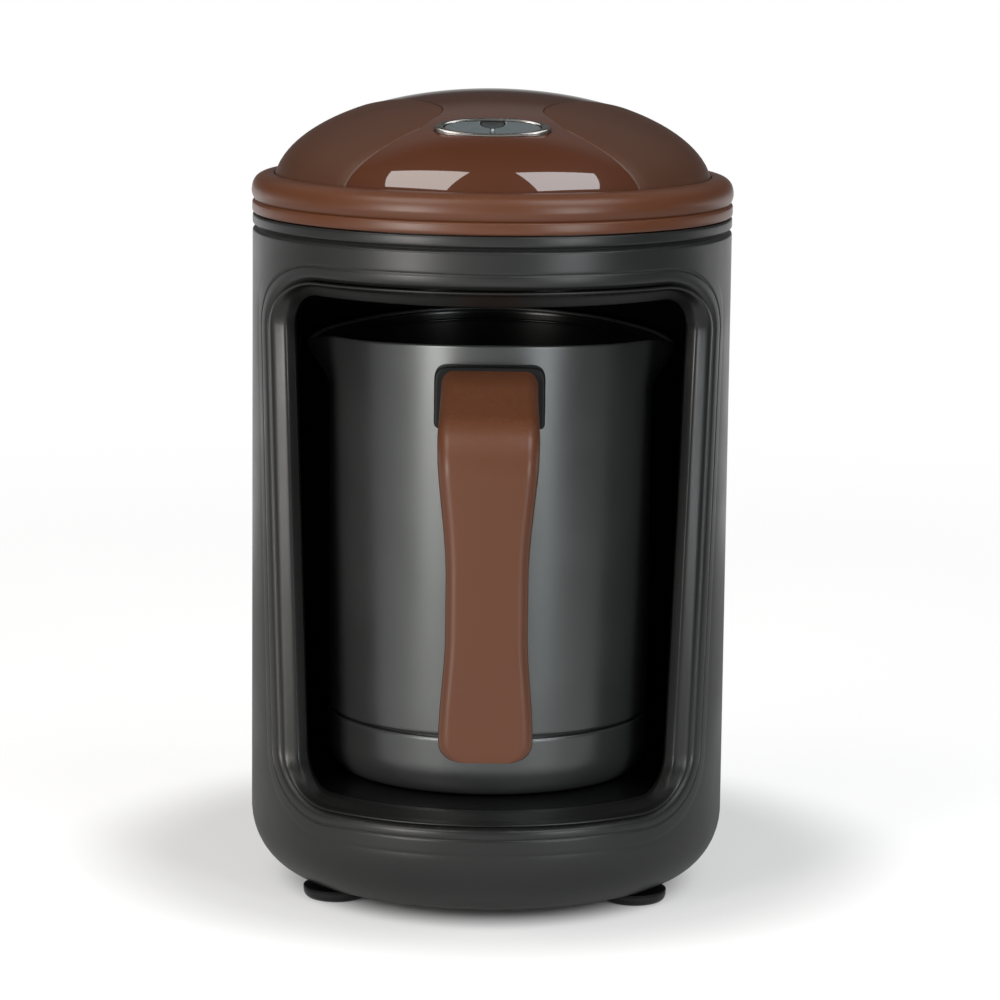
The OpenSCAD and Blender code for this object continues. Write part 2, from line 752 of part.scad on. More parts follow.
module lobe_plan(inset) {
    polygon(concat(
        [[lobe_reach, lobe_corner[1] - 8 + inset],
            [lobe_corner[0] + 2 + inset, lobe_corner[1] - 0.6 + inset]],
        [for (i = [1:lobe_n]) lobe_curve(i / lobe_n) + [inset, 0]],
        [[lobe_reach, dome_r * 0.66 + 10]]));
}

module lobe_pocket(inset, low, high) {
    intersection() {
        translate([0, 0, dome_z + 1.2 + inset]) linear_extrude(dome_h + 2) lobe_plan(inset);
        dome_band(low, high);
    }
}

board_tilt_y = -control_y;
board_tilt_z = dome_z + dome_rise(control_y);
board_tilt = atan(dome_h * control_y / (dome_r * dome_r * sqrt(1 - pow(control_y / dome_r, 2))));

// Frame of the controls: origin on the dome, +Z out of the dome, +Y up the slope
module at_controls() {
    on_axis() translate([0, board_tilt_y, board_tilt_z]) rotate([board_tilt, 0, 0]) children();
}

// A point of the controls' frame, told in the drum's frame
function on_slope(x, up, out) = [x,
    board_tilt_y + up * cos(board_tilt) - out * sin(board_tilt),
    board_tilt_z + up * sin(board_tilt) + out * cos(board_tilt)];

module oval(grow) {
    n = 60;
    polygon([for (i = [0:n - 1]) let (a = 360 * i / n)
        [(oval_l / 2 + grow) * cos(a), (oval_w / 2 + grow) * sin(a)]]);
}

oval_deep = 4;

module dome_cover() {
    color(gloss_brown) difference() {
        on_axis() union() {
            dome_band(dome_wall, 0);
            translate([0, 0, ledge_z + 1.85]) rotate_extrude()
                translate([dome_r - dome_wall, 0]) square([dome_wall, dome_z - ledge_z - 1.75]);
        }
        on_axis() lobe_pocket(0, lobe_t + 0.05, 1);
        on_axis() mirror([1, 0, 0]) lobe_pocket(0, lobe_t + 0.05, 1);
        at_controls() translate([0, 0, -9]) linear_extrude(14) oval(assembly_gap);
    }
}

module lobe_right() {
    color(brown) on_axis() lobe_pocket(assembly_gap, lobe_t, 0);
}

module lobe_left() {
    color(brown) on_axis() mirror([1, 0, 0]) lobe_pocket(assembly_gap, lobe_t, 0);
}

module chrome_oval() {
    color([0.85, 0.85, 0.86]) at_controls() difference() {
        translate([0, 0, -oval_deep]) linear_extrude(oval_deep + oval_proud) oval(0);
        translate([0, 0, -oval_deep - overcut]) linear_extrude(oval_deep + 3) oval(-oval_wall);
    }
}

hub_r = 2.6;
hub_top = oval_proud - 0.1;
hub_floor_t = 1.4;
pad_x = 8.5;
stem_r = 1.9;
pad_top = oval_proud - 0.1;
pad_bottom = -1.6;
pad_side_gap = 0.3;
pipe_r = 0.95;
switch_h = 3.5;
plunger_r = 1.7;
plunger_out = 1.2;

module control_hub() {
    color([0.08, 0.08, 0.09]) at_controls() difference() {
        union() {
            translate([0, 0, -oval_deep]) linear_extrude(hub_floor_t) oval(-oval_wall - 0.1);
            translate([0, 0, -oval_deep]) cylinder(r = hub_r, h = oval_deep + hub_top);
        }
        translate([0, 0, -oval_deep - overcut]) cylinder(r = pipe_r + bore_gap, h = 8);
        for (x = [-1, 1]) translate([x * pad_x, 0, -oval_deep - overcut])
            cylinder(r = stem_r + bore_gap, h = 4);
    }
}

module status_light() {
    color([0.9, 0.95, 1]) at_controls() translate([0, 0, seat_gap - board_depth])
        cylinder(r = pipe_r, h = board_depth + hub_top + 0.1);
}

// The right push pad: one end of the oval, cut back round the hub, on a guided stem
module push_pad() {
    stem_bottom = -board_depth + switch_h + plunger_out + seat_gap;
    difference() {
        translate([0, 0, pad_bottom]) linear_extrude(pad_top - pad_bottom) intersection() {
            oval(-oval_wall - pad_side_gap);
            translate([0.8, -oval_w]) square([oval_l, 2 * oval_w]);
        }
        translate([0, 0, pad_bottom - overcut]) cylinder(r = hub_r + 0.4, h = 4);
    }
    translate([pad_x, 0, stem_bottom]) cylinder(r = stem_r, h = pad_bottom + 0.5 - stem_bottom);
}

module button_right() {
    color([0.55, 0.6, 0.63]) at_controls() push_pad();
}

module button_left() {
    color([0.55, 0.6, 0.63]) at_controls() rotate(180) push_pad();
}

module plunger(side) {
    color([0.1, 0.1, 0.1]) at_controls()
        translate([side * pad_x, 0, -board_depth + pad_travel + 0.3])
            cylinder(r = plunger_r, h = switch_h + plunger_out - pad_travel - 0.3);
}

module plunger_left() {
    plunger(-1);
}

module plunger_right() {
    plunger(1);
}

module tact_switches() {
    color([0.2, 0.2, 0.21]) at_controls() for (x = [-1, 1]) difference() {
        translate([x * pad_x - 3, -3, -board_depth]) cube([6, 6, switch_h]);
        translate([x * pad_x, 0, -board_depth + 0.2]) cylinder(r = plunger_r + bore_gap, h = switch_h);
    }
}

control_board_l = 40;
control_board_w = 22;
rib_x = 16;
rib_t = 3.4;

module control_board() {
    color(board_green) at_controls() difference() {
        translate([-control_board_l / 2, -control_board_w / 2, -board_depth - board_t])
            cube([control_board_l, control_board_w, board_t]);
        for (x = [-1, 1]) translate([x * rib_x, 0, -board_depth - board_t - overcut])
            cylinder(r = 1.15, h = board_t + 2);
    }
}

module board_carrier() {
    front = on_slope(0, -control_board_w / 2, -board_depth - board_t - seat_gap);
    back = on_slope(0, control_board_w / 2, -board_depth - board_t - seat_gap);
    plate_y = front[1] + 2;
    plate_w = back[1] - 1 - plate_y;
    color(black) difference() {
        on_axis() {
            for (x = [-1, 1]) translate([x * rib_x - rib_t / 2, 0, 0]) rotate([90, 0, 90])
                linear_extrude(rib_t) polygon([[plate_y, deck_top], [plate_y + plate_w, deck_top],
                    [back[1], back[2]], [front[1], front[2]]]);
            translate([-rib_x, plate_y, deck_top]) cube([2 * rib_x, plate_w, 1.6]);
        }
        at_controls() for (x = [-1, 1]) translate([x * rib_x, 0, -board_depth - 8])
            cylinder(r = 1.05, h = 8);
    }
}

module buzzer() {
    color([0.07, 0.07, 0.07]) at_controls() difference() {
        translate([0, 6.4, -board_depth]) cylinder(r = 4, h = 4.5);
        translate([0, 6.4, -board_depth + 3]) cylinder(r = 0.8, h = 3);
    }
}

// ---- pot ----

cup_n = 96;
spout_soft = 4;
spout_a = acos(pot_r / spout_reach) + spout_soft;

// Radius of the rim's outline at angle a: a circle with tangents that meet in two rounded spouts
function rim_r(a) =
    let (off = min(a % 180, 180 - a % 180), soft = sqrt(off * off + spout_soft * spout_soft))
    pot_r / cos(max(0, spout_a - soft));

// One ring of the pot's wall: height z, moved inwards by inset
function cup_ring(z, inset) =
    let (f = smooth((z - rim_z + spout_h) / spout_h))
    [for (i = [0:cup_n - 1])
        let (a = 360 * i / cup_n, r = mix(pot_r, rim_r(a), f) - inset,
            reach = (rim_r(a) - pot_r) / (spout_reach - pot_r))
        [r * cos(a), r * sin(a), z - spout_dip * f * reach * reach]];

flare_zs = [for (k = [0:7]) rim_z - spout_h + spout_h * k / 7];

module pot_body() {
    edge = 0.8;
    rings = concat(
        [cup_ring(cup_z, edge), cup_ring(cup_z + edge, 0)],
        [for (z = flare_zs) cup_ring(z, 0)],
        [cup_ring(rim_z, pot_wall)],
        [for (k = [6:-1:0]) cup_ring(flare_zs[k], pot_wall)],
        [cup_ring(cup_z + cup_floor + 4, pot_wall), cup_ring(cup_z + cup_floor + 1.2, pot_wall + 1.2),
            cup_ring(cup_z + cup_floor, pot_wall + 4)]);
    color(anthracite) on_axis()
        polyhedron([for (r = rings) each r], ring_faces(cup_n, len(rings), false), convexity = 8);
}

module pot_seal() {
    color([0.03, 0.03, 0.03]) on_axis() translate([0, 0, skirt_top]) difference() {
        cylinder(r = pot_r - 1.4, h = skirt_joint);
        translate([0, 0, -overcut]) cylinder(r = pot_r - 4, h = skirt_joint + 2);
    }
}

skirt_wall = 3.2;
skirt_round = 5;
cover_t = 2;
cover_z = pot_z + 0.4;
cover_top = cover_z + cover_t;
cover_r = pot_r - skirt_round - 2;
pot_post_at = cover_r - 6.9;
pot_post_r = 2.8;
pot_post_angles = [30, 150, 270];
heater_r = pot_r - 9.4;
heater_t = 3;
plug_half = blade_pitch + 3;
plug_half_h = blade_h / 2 + 1.6;
plug_back = pot_r + 2.2;
plug_front = pot_r - 8;

module pot_skirt() {
    color(anthracite) on_axis() difference() {
        rotate_extrude() polygon(concat(
            [[cover_r + assembly_gap, pot_z]],
            arc(pot_r - skirt_round, pot_z + skirt_round, skirt_round, skirt_round, -90, 0, 8),
            [[pot_r, skirt_top - 0.5], [pot_r - 0.5, skirt_top], [pot_r - skirt_wall, skirt_top],
                [pot_r - skirt_wall, pot_z + skirt_round + 1],
                [pot_r - skirt_wall - 2.6, cover_top + 1.6], [cover_r - 2, cover_top + 1.6],
                [cover_r - 2, cover_top + 0.02], [cover_r + assembly_gap, cover_top + 0.02]]));
        translate([-plug_half - 0.1, plug_front, socket_z - plug_half_h - 0.1])
            cube([2 * plug_half + 0.2, 20, 2 * plug_half_h + 0.2]);
    }
}

module at_pot_posts() {
    for (a = pot_post_angles) rotate(a) translate([pot_post_at, 0, 0]) children();
}

module pot_base_cover() {
    color(black) on_axis() difference() {
        translate([0, 0, cover_z]) cylinder(r = cover_r, h = cover_t);
        at_pot_posts() {
            translate([0, 0, cover_z - overcut]) cylinder(r = 1.3, h = cover_t + 2);
            translate([0, 0, cover_z - overcut]) cylinder(r = 2.4, h = 1 + overcut);
        }
    }
}

module pot_screws() {
    color(steel) on_axis() at_pot_posts() translate([0, 0, cover_z + 0.05])
        screw(1.05, 8, 2.2, 0.95);
}

module heater_plate() {
    color([0.7, 0.71, 0.72]) on_axis() difference() {
        union() {
            translate([0, 0, cup_z - heater_t]) cylinder(r = heater_r, h = heater_t);
            at_pot_posts() translate([0, 0, cover_top])
                cylinder(r = pot_post_r, h = cup_z - heater_t - cover_top + 0.5);
        }
        at_pot_posts() translate([0, 0, cover_top - overcut]) cylinder(r = 1.1, h = 9);
    }
}

element_r = heater_r - 14;
element_tube_r = 3;
element_gap_a = 40;

module heating_element() {
    z = cup_z - heater_t - element_tube_r - seat_gap;
    color([0.5, 0.48, 0.46]) on_axis() translate([0, 0, z]) {
        rotate(90 + element_gap_a / 2) rotate_extrude(angle = 360 - element_gap_a)
            translate([element_r, 0]) circle(r = element_tube_r, $fn = 24);
        for (s = [-1, 1]) rotate(90 + s * element_gap_a / 2) translate([element_r, 0, 0])
            rotate([90 * s, 0, 0]) translate([0, 0, -0.2]) cylinder(r = 1.1, h = 4);
    }
}

module thermostat() {
    color([0.85, 0.82, 0.75]) on_axis() translate([0, 0, cup_z - heater_t - 6.5]) {
        cylinder(r = 8, h = 6.5);
        for (x = [-1, 1]) translate([x * 5 - 1.5, -0.4, -2.6]) cube([3, 0.8, 2.7]);
    }
}

module thermal_fuse() {
    color([0.8, 0.8, 0.78]) on_axis() translate([-6, -14, cup_z - heater_t - 2 - seat_gap])
        rotate([0, 90, 0]) cylinder(r = 2, h = 12);
}

module pot_plug() {
    color(black) on_axis() difference() {
        translate([-plug_half, plug_front, socket_z - plug_half_h])
            cube([2 * plug_half, plug_back - plug_front, 2 * plug_half_h]);
        for (k = [-1, 0, 1]) translate([k * blade_pitch - blade_t / 2 - 0.02, plug_front - overcut,
            socket_z - blade_h / 2 - 0.02]) cube([blade_t + 0.04, 30, blade_h + 0.04]);
    }
}

module pot_blades() {
    color(copper) on_axis() for (k = [-1, 0, 1])
        translate([k * blade_pitch - blade_t / 2, plug_front - 3, socket_z - blade_h / 2])
            cube([blade_t, socket_back - 2.4 - plug_front + 3, blade_h]);
}

// ---- handle ----

arm_slope = tan(arm_fall);
arm_top_z = rim_z - arm_drop;
corner_out_r = 8;
corner_in_r = 10;
grip_foot_z = pot_z + grip_foot_up;
corner_half = 45 - arm_fall / 2;
fillet = tan(corner_half);

// One long edge of the handle seen from the side, as [distance in front, height]:
// along the arm, round a corner of radius r and down the grip. s runs from 0 to 3.
function edge_point(reach, top, r, s) =
    let (knee = [reach, top - (reach - arm_start) * arm_slope], run = r * fillet,
        a0 = knee + run * [-cos(arm_fall), sin(arm_fall)], a1 = knee - [0, run],
        mid = a1 - [r, 0])
    s <= 1 ? mix([arm_start, top], a0, s)
    : s <= 2 ? let (a = (90 - arm_fall) * (2 - s)) mid + r * [cos(a), sin(a)]
    : mix(a1, [reach, grip_foot_z], s - 2);

function handle_side(s, v) = mix(
    edge_point(grip_back, arm_top_z - arm_t / cos(arm_fall), corner_in_r, s),
    edge_point(grip_front, arm_top_z, corner_out_r, s), v);

waist_up = 37.3;
waist_z = grip_foot_z + waist_up;
grip_top_z = arm_top_z - 11;
foot_round = 5;

// Width of the handle at height z: a waist that widens upwards and towards the rounded foot
function grip_width(z) =
    let (up = (z - waist_z) / (grip_top_z - waist_z),
        down = (waist_z - z) / (waist_up - foot_round),
        w = z > waist_z ? mix(grip_w_waist, grip_w_top, pow(min(1, up), 2))
            : mix(grip_w_waist, grip_w_foot, smooth(down)),
        d = max(0, foot_round - (z - grip_foot_z)))
    w - 2 * (foot_round - sqrt(foot_round * foot_round - 0.98 * d * d));

foot_steps = [0.05, 0.03, 0.012, 0];
handle_ss = concat([0, 0.5], [for (i = [0:7]) 1 + i / 8], [for (i = [0:6]) 2 + i / 7.5],
    [for (k = foot_steps) 3 - k]);

// A handle shell: section points [half-width share, mm from the edge, depth share]
module handle_sweep(section) {
    rings = [for (s = handle_ss)
        let (w = grip_width(handle_side(s, 0.5)[1]) / 2)
        for (p = section)
            let (q = handle_side(s, p[2])) [p[0] * w - sign(p[0]) * p[1], -q[0], q[1]]];
    polyhedron(rings, ring_faces(len(section), len(handle_ss), false), convexity = 8);
}

shell_wall = 2.2;
split_v = 0.42;
split_step = 0.02;
round_w = 3.4;
round_v = 0.27;
round_n = 4;
function round_corner(side, v_from, v_to, rising) =
    [for (i = [0:round_n]) let (a = 90 * (rising ? i : round_n - i) / round_n)
        [side, round_w * (1 - cos(a)), mix(v_from, v_to, sin(a))]];

module handle_shell() {
    inner = 1 - shell_wall / grip_t;
    color(brown) on_axis() handle_sweep(concat(
        [[-1, shell_wall, split_v + split_step], [-1, 0, split_v]],
        round_corner(-1, 1 - round_v, 1, true), round_corner(1, 1 - round_v, 1, false),
        [[1, 0, split_v], [1, shell_wall, split_v + split_step], [1, shell_wall, inner],
            [-1, shell_wall, inner]]));
}

module handle_cover() {
    color(brown) on_axis() handle_sweep(concat(
        round_corner(1, round_v, 0, true), round_corner(-1, round_v, 0, false),
        [[-1, 0, split_v - 0.015], [1, 0, split_v - 0.015]]));
}

core_w = 14;
core_end = 2.85;
core_v = 0.12;
foot_plate_t = 2.2;
handle_screw_x = 4.2;
handle_screw_z = arm_top_z - 5.75;
handle_screw_r = 1.2;
handle_screw_head_r = 1.8;
handle_screw_head_h = 1.2;

module handle_core() {
    ss = concat([for (s = handle_ss) if (s < core_end) s], [core_end]);
    low = [for (s = ss) handle_side(s, split_v - 0.01)];
    high = [for (s = ss) handle_side(s, split_v + core_v)];
    plate = handle_side(0, split_v)[1];
    color(steel) on_axis() difference() {
        union() {
            rotate([90, 0, 90]) translate([0, 0, -core_w / 2]) linear_extrude(core_w)
                polygon(concat([for (p = low) [-p[0], p[1]]],
                    [for (i = [len(high) - 1:-1:0]) [-high[i][0], high[i][1]]]));
            translate([-core_w / 2, -arm_start - foot_plate_t, plate])
                cube([core_w, foot_plate_t, 5.6]);
        }
        for (x = [-1, 1]) translate([x * handle_screw_x, -arm_start + overcut, handle_screw_z])
            rotate([90, 0, 0]) cylinder(r = handle_screw_r + 0.15, h = foot_plate_t + 2);
    }
}

module handle_screws() {
    color(steel) on_axis() for (x = [-1, 1])
        translate([x * handle_screw_x, -arm_start - foot_plate_t - handle_screw_head_h,
            handle_screw_z]) rotate([-90, 0, 0])
            screw(handle_screw_r, foot_plate_t + bracket_t - 0.6, handle_screw_head_r,
                handle_screw_head_h);
}

module handle_bracket() {
    r = 3.4;
    top = rim_z - 4.6;
    color(black) on_axis() difference() {
        rotate([90, 0, 0]) linear_extrude(arm_start) polygon(concat(
            arc(bracket_w / 2 - r, top - r, r, r, 0, 90, 5),
            arc(-bracket_w / 2 + r, top - r, r, r, 90, 180, 5),
            arc(-bracket_w / 2 + r / 2, top - bracket_h + r / 2, r / 2, r / 2, 180, 270, 3),
            arc(bracket_w / 2 - r / 2, top - bracket_h + r / 2, r / 2, r / 2, 270, 360, 3)));
        cylinder(r = pot_r + 0.02, h = rim_z);
        for (x = [-1, 1]) translate([x * handle_screw_x, 0, handle_screw_z])
            rotate([90, 0, 0]) cylinder(r = handle_screw_r + 0.1, h = arm_start + overcut);
    }
}

body_shell();
front_bezel();
bay_liner();
bay_floor();
base_plate();
rubber_feet();
base_screws();
top_deck();
deck_screws();
collar_ring();
dome_cover();
lobe_left();
lobe_right();
chrome_oval();
control_hub();
status_light();
button_left();
button_right();
plunger_left();
plunger_right();
tact_switches();
control_board();
board_carrier();
buzzer();
sensor_head();
sensor_lens();
sensor_board();
power_socket();
socket_contacts();
socket_screws();
power_board();
board_screws();
relay();
transformer();
capacitor();
terminal_block();
cable_gland();
cord_clamp();
clamp_screws();
socket_harness();
control_harness();
pot_body();
pot_seal();
pot_skirt();
pot_base_cover();
pot_screws();
heater_plate();
heating_element();
thermostat();
thermal_fuse();
pot_plug();
pot_blades();
handle_bracket();
handle_core();
handle_screws();
handle_shell();
handle_cover();
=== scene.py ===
import json
import math
import bmesh
import bpy
import numpy as np
from mathutils import Matrix, Vector


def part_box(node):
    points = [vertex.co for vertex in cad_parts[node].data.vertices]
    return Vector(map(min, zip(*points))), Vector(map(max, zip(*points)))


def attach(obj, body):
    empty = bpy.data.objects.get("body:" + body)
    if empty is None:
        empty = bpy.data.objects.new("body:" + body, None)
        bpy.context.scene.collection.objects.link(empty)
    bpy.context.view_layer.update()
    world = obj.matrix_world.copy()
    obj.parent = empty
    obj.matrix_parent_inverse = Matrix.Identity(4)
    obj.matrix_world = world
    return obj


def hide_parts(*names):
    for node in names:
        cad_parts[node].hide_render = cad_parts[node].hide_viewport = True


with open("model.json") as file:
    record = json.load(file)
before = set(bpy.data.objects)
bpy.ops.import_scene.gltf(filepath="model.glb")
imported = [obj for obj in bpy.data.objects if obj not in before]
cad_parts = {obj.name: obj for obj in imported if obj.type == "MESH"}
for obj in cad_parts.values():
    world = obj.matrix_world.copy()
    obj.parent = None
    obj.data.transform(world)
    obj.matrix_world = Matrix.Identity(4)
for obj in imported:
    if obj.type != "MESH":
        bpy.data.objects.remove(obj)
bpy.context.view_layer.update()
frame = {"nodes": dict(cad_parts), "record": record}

# Lengths are millimetres from the drum's axis, with Z = 0 on the table and the handle towards -Y.
MM = 0.001
shell_low, shell_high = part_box("body_shell")
AXIS_Y = (shell_low.y + shell_high.y) / 2
BODY_OF = {n: b for b, names in frame["record"]["behaviour"]["bodies"].items() for n in names}
SLOT_OF = {p["node"]: p["material_slot"] for p in frame["record"]["subparts"]}
QUARTER, HALF_TURN, FULL_TURN = math.pi / 2, math.pi, 2 * math.pi

# Drum: the rounding under it is a quarter ellipse, ROUND_IN wide and ROUND_UP tall, that starts at ROUND_Z
DRUM_R, DRUM_WALL = 70.0, 2.5
INNER_R = DRUM_R - DRUM_WALL
ROUND_IN, ROUND_UP, ROUND_Z = 16.6, 19.0, 22.4
SHELL_END_R = 58.0
DRUM_TOP = 198.4
GROOVE_Z, GROOVE_DEPTH = 194.7, 1.4
GLAND_Z = 27.0

# Window in the drum, and its frame: how far the frame's lip and its face stand in from the window's outline
WINDOW_TOP, WINDOW_BOTTOM, WINDOW_CORNER = 183.3, 30.9, 15.0
WINDOW_HALF_TOP, WINDOW_HALF_BOTTOM = 64.8, 59.4
FRAME_SIDE, FRAME_LINTEL, FRAME_SILL = 8.2, 5.3, 3.1
FACE_SIDE, FACE_LINTEL, FACE_SILL, FACE_R = 5.8, 2.1, 1.75, 66.6
LIP_BACK_R = 60.3

# Top
COLLAR_TOP, COLLAR_R = 209.9, 70.3
DOME_R, DOME_H, DOME_Z, DOME_WALL, DOME_FOOT_Z = 63.7, 28.6, 205.9, 2.4, 201.9
CONTROL_Y = DOME_R - 20.1
OVAL_L, OVAL_W, OVAL_PROUD = 32.8, 10.8, 0.35

# Pot: the spouts reach SPOUT_REACH from the axis and begin SPOUT_H under the rim
POT_R, POT_Z, SKIRT_TOP, CUP_Z, RIM_Z = 47.4, 34.3, 51.5, 52.2, 165.4
SPOUT_REACH, SPOUT_H, SPOUT_DIP, SIDE_DIP, SPOUT_SOFT = 54.0, 19.0, 2.3, 2.0, math.radians(4)
SPOUT_Z = RIM_Z - SPOUT_H

# Handle: the first three are distances in front of the axis, and the arm's top falls away from the pot
GRIP_BACK, GRIP_FRONT, ARM_START = 77.0, 90.5, 52.0
ARM_FALL, ARM_THICK, ARM_TOP_Z = math.radians(18), 15.0, RIM_Z - 6.7
KNEE_BACK_R, KNEE_FRONT_R = 10, 16
GRIP_FOOT_Z = POT_Z + 20.4
WAIST_W, KNEE_MORE, ARM_LESS, FOOT_MORE = 22.8, 6.0, 1.4, 3.4
GRIP_EDGE, FOOT_ROUND = 3.4, 5

scene = bpy.context.scene
scene.view_settings.view_transform = "Standard"


# ---- mesh building

def unit(v):
    """Vectors of length 1 along the last axis."""
    return v / np.maximum(np.linalg.norm(v, axis=-1, keepdims=True), 1e-12)


def smooth(t):
    """Cubic step: 3 t squared less 2 t cubed, with t held between 0 and 1."""
    t = np.clip(t, 0, 1)
    return t * t * (3 - 2 * t)


def mix(a, b, t):
    """Straight blend from a to b."""
    return a + (b - a) * t


def parabola(a, m, b, t):
    """Curve from a to b that leaves a towards m: (1 - t) squared a, plus 2 t (1 - t) m, plus t squared b."""
    return (1 - t) ** 2 * a + 2 * t * (1 - t) * m + t ** 2 * b


def points_of(*coordinates):
    """Points from arrays of their coordinates, which are stretched to one shape."""
    return np.stack(np.broadcast_arrays(*coordinates), -1)


def level(plan, z):
    """A flat outline set at height z."""
    return points_of(plan[:, 0], plan[:, 1], z)


def on_round(plan, radius):
    """An outline seen from the front, laid on the front of an upright round wall: y is less the root of the radius
    squared less x squared."""
    return points_of(plan[:, 0], -np.sqrt(radius ** 2 - plan[:, 0] ** 2), plan[:, 1])


def arc(x, y, rx, ry, a):
    """Points at the turns a along an ellipse about (x, y)."""
    return points_of(x + rx * np.cos(a), y + ry * np.sin(a))


def ellipse(rx, ry, n=128):
    """Points all round an ellipse about the origin."""
    return arc(0, 0, rx, ry, np.linspace(0, FULL_TURN, n, endpoint=False))


def sheet(points, wrap_rows=False, wrap_cols=False):
    """A (points, quads) part from rows x cols points, joined round where a wrap is asked for."""
    points = np.asarray(points, float)
    rows, cols = points.shape[:2]
    r = np.arange(rows if wrap_rows else rows - 1)[:, None]
    c = np.arange(cols if wrap_cols else cols - 1)[None, :]
    r1, c1 = (r + 1) % rows, (c + 1) % cols
    quads = points_of(r * cols + c, r * cols + c1, r1 * cols + c1, r1 * cols + c)
    return points.reshape(-1, 3), quads.reshape(-1, 4)


def fan(ring):
    """A (points, triangles) part that closes a ring with a point in its middle."""
    n = len(ring)
    i = np.arange(n)
    return np.concatenate([ring, ring.mean(0, keepdims=True)]), points_of(i, (i + 1) % n, n)


def capped(rings):
    """A closed solid: the rings joined into a tube, with a fan over each end."""
    rings = np.asarray(rings, float)
    return [sheet(rings, wrap_cols=True), fan(rings[0]), fan(rings[-1])]


def softened(corners, n, hold=0.35):
    """Closed outline with rounded corners: each corner (x, y, r) becomes the parabola of n points that starts r before
    it and ends r after it, with one more point just outside each end so that the flats stay flat."""
    c = np.asarray(corners, float)
    p, r = c[:, :2], c[:, 2:]
    back, ahead = unit(np.roll(p, 1, 0) - p), unit(np.roll(p, -1, 0) - p)
    t = np.linspace(0, 1, n)[None, :, None]
    curve = parabola((p + back * r)[:, None], p[:, None], (p + ahead * r)[:, None], t)
    before, after = (p + back * r * (1 + hold))[:, None], (p + ahead * r * (1 + hold))[:, None]
    return np.concatenate([before, curve, after], 1).reshape(-1, 2)


def turned(outline, steps, centre=(0, 0)):
    """The closed outline (radius, height) turned a full circle about an upright axis through centre."""
    a = np.linspace(0, FULL_TURN, steps, endpoint=False)[None, :]
    r, z = outline[:, :1], outline[:, 1:]
    return sheet(points_of(centre[0] + r * np.sin(a), centre[1] - r * np.cos(a), z), wrap_rows=True, wrap_cols=True)


def through(points, n):
    """A smooth line through the points: between two of them, the cubic whose slopes come from their neighbours."""
    p = np.asarray(points, float)
    slope = np.gradient(p, axis=0)
    at = np.linspace(0, len(p) - 1, n)
    k = np.minimum(at.astype(int), len(p) - 2)
    t = (at - k)[:, None]
    return ((2 * t ** 3 - 3 * t ** 2 + 1) * p[k] + (t ** 3 - 2 * t ** 2 + t) * slope[k]
        + (3 * t ** 2 - 2 * t ** 3) * p[k + 1] + (t ** 3 - t ** 2) * slope[k + 1])


# ---- pieces in the scene

WELD = 0.004


def add_object(name, data):
    """A new object in the scene."""
    obj = bpy.data.objects.new(name, data)
    scene.collection.objects.link(obj)
    return obj


def mesh_of(name, parts):
    """One mesh of all parts: places go from millimetres about the axis to metres in the shared frame."""
    offset, points, faces = 0, [], []
    for part_points, part_faces in parts:
        points.append(part_points)
        faces += (part_faces + offset).tolist()
        offset += len(part_points)
    mesh = bpy.data.meshes.new(name)
    mesh.from_pydata((np.concatenate(points) * MM + (0, AXIS_Y, 0)).tolist(), [], faces)
    return mesh


def shade(mesh, crease):
    """Smooth shading, with edges sharper than crease degrees kept sharp."""
    mesh.shade_smooth()
    mesh.set_sharp_from_angle(angle=math.radians(crease))


def clean(mesh, crease):
    """Welds points closer than WELD millimetres, turns the faces outwards and shades the mesh."""
    bm = bmesh.new()
    bm.from_mesh(mesh)
    bmesh.ops.remove_doubles(bm, verts=bm.verts, dist=WELD * MM)
    bmesh.ops.dissolve_degenerate(bm, edges=bm.edges, dist=WELD * MM * 0.5)
    bmesh.ops.recalc_face_normals(bm, faces=bm.faces)
    bm.to_mesh(mesh)
    bm.free()
    shade(mesh, crease)


def carve(obj, cutters, crease):
    """Takes closed cutter parts out of obj and keeps the plain mesh that is left."""
    tools = []
    for k, parts in enumerate(cutters):
        tool = add_object(f"cutter_{k}", mesh_of(f"cutter_{k}", parts))
        clean(tool.data, crease)
        cut = obj.modifiers.new(f"cut_{k}", "BOOLEAN")
        cut.operation, cut.solver, cut.object = "DIFFERENCE", "EXACT", tool
        tools.append(tool)
    bpy.context.view_layer.update()
    solid = bpy.data.meshes.new_from_object(obj.evaluated_get(bpy.context.evaluated_depsgraph_get()))
    obj.modifiers.clear()
    obj.data = solid
    for tool in tools:
        bpy.data.objects.remove(tool)
    shade(solid, crease)


def piece(name, parts, node_name, look=None, crease=40, cut=()):
    """A finished piece in place of a CAD node, riding on the node's body, in its slot's own finish unless look names
    another. cut holds the closed parts that are taken out of it."""
    slot = SLOT_OF[node_name]
    obj = add_object(name, mesh_of(name, parts))
    clean(obj.data, crease)
    if cut:
        carve(obj, cut, crease)
    obj.data.materials.clear()
    obj.data.materials.append(LOOK[look or slot])
    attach(obj, BODY_OF[node_name])
    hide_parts(node_name)


# ---- drum

# Points along each level edge of half the window, round each of its corners and up its side. The field round it has its
# own corners at SPLIT_LOW and SPLIT_HIGH, and LAST is the middle of the lintel.
EDGE_N, CORNER_N, UPRIGHT_N = 36, 14, 44
SPLIT_LOW = EDGE_N + CORNER_N // 2
SPLIT_HIGH = EDGE_N + CORNER_N + UPRIGHT_N + CORNER_N // 2
LAST = 2 * EDGE_N + 2 * CORNER_N + UPRIGHT_N
FIELD_HALF, FIELD_LOW, FIELD_HIGH = 102.6, 15.0, 193.1

# The two fine lines round the window: how far they lie beside, above and below it
INNER_LINE, OUTER_LINE = (5.2, 4.3, 3.5), (8.4, 9.8, 8.1)

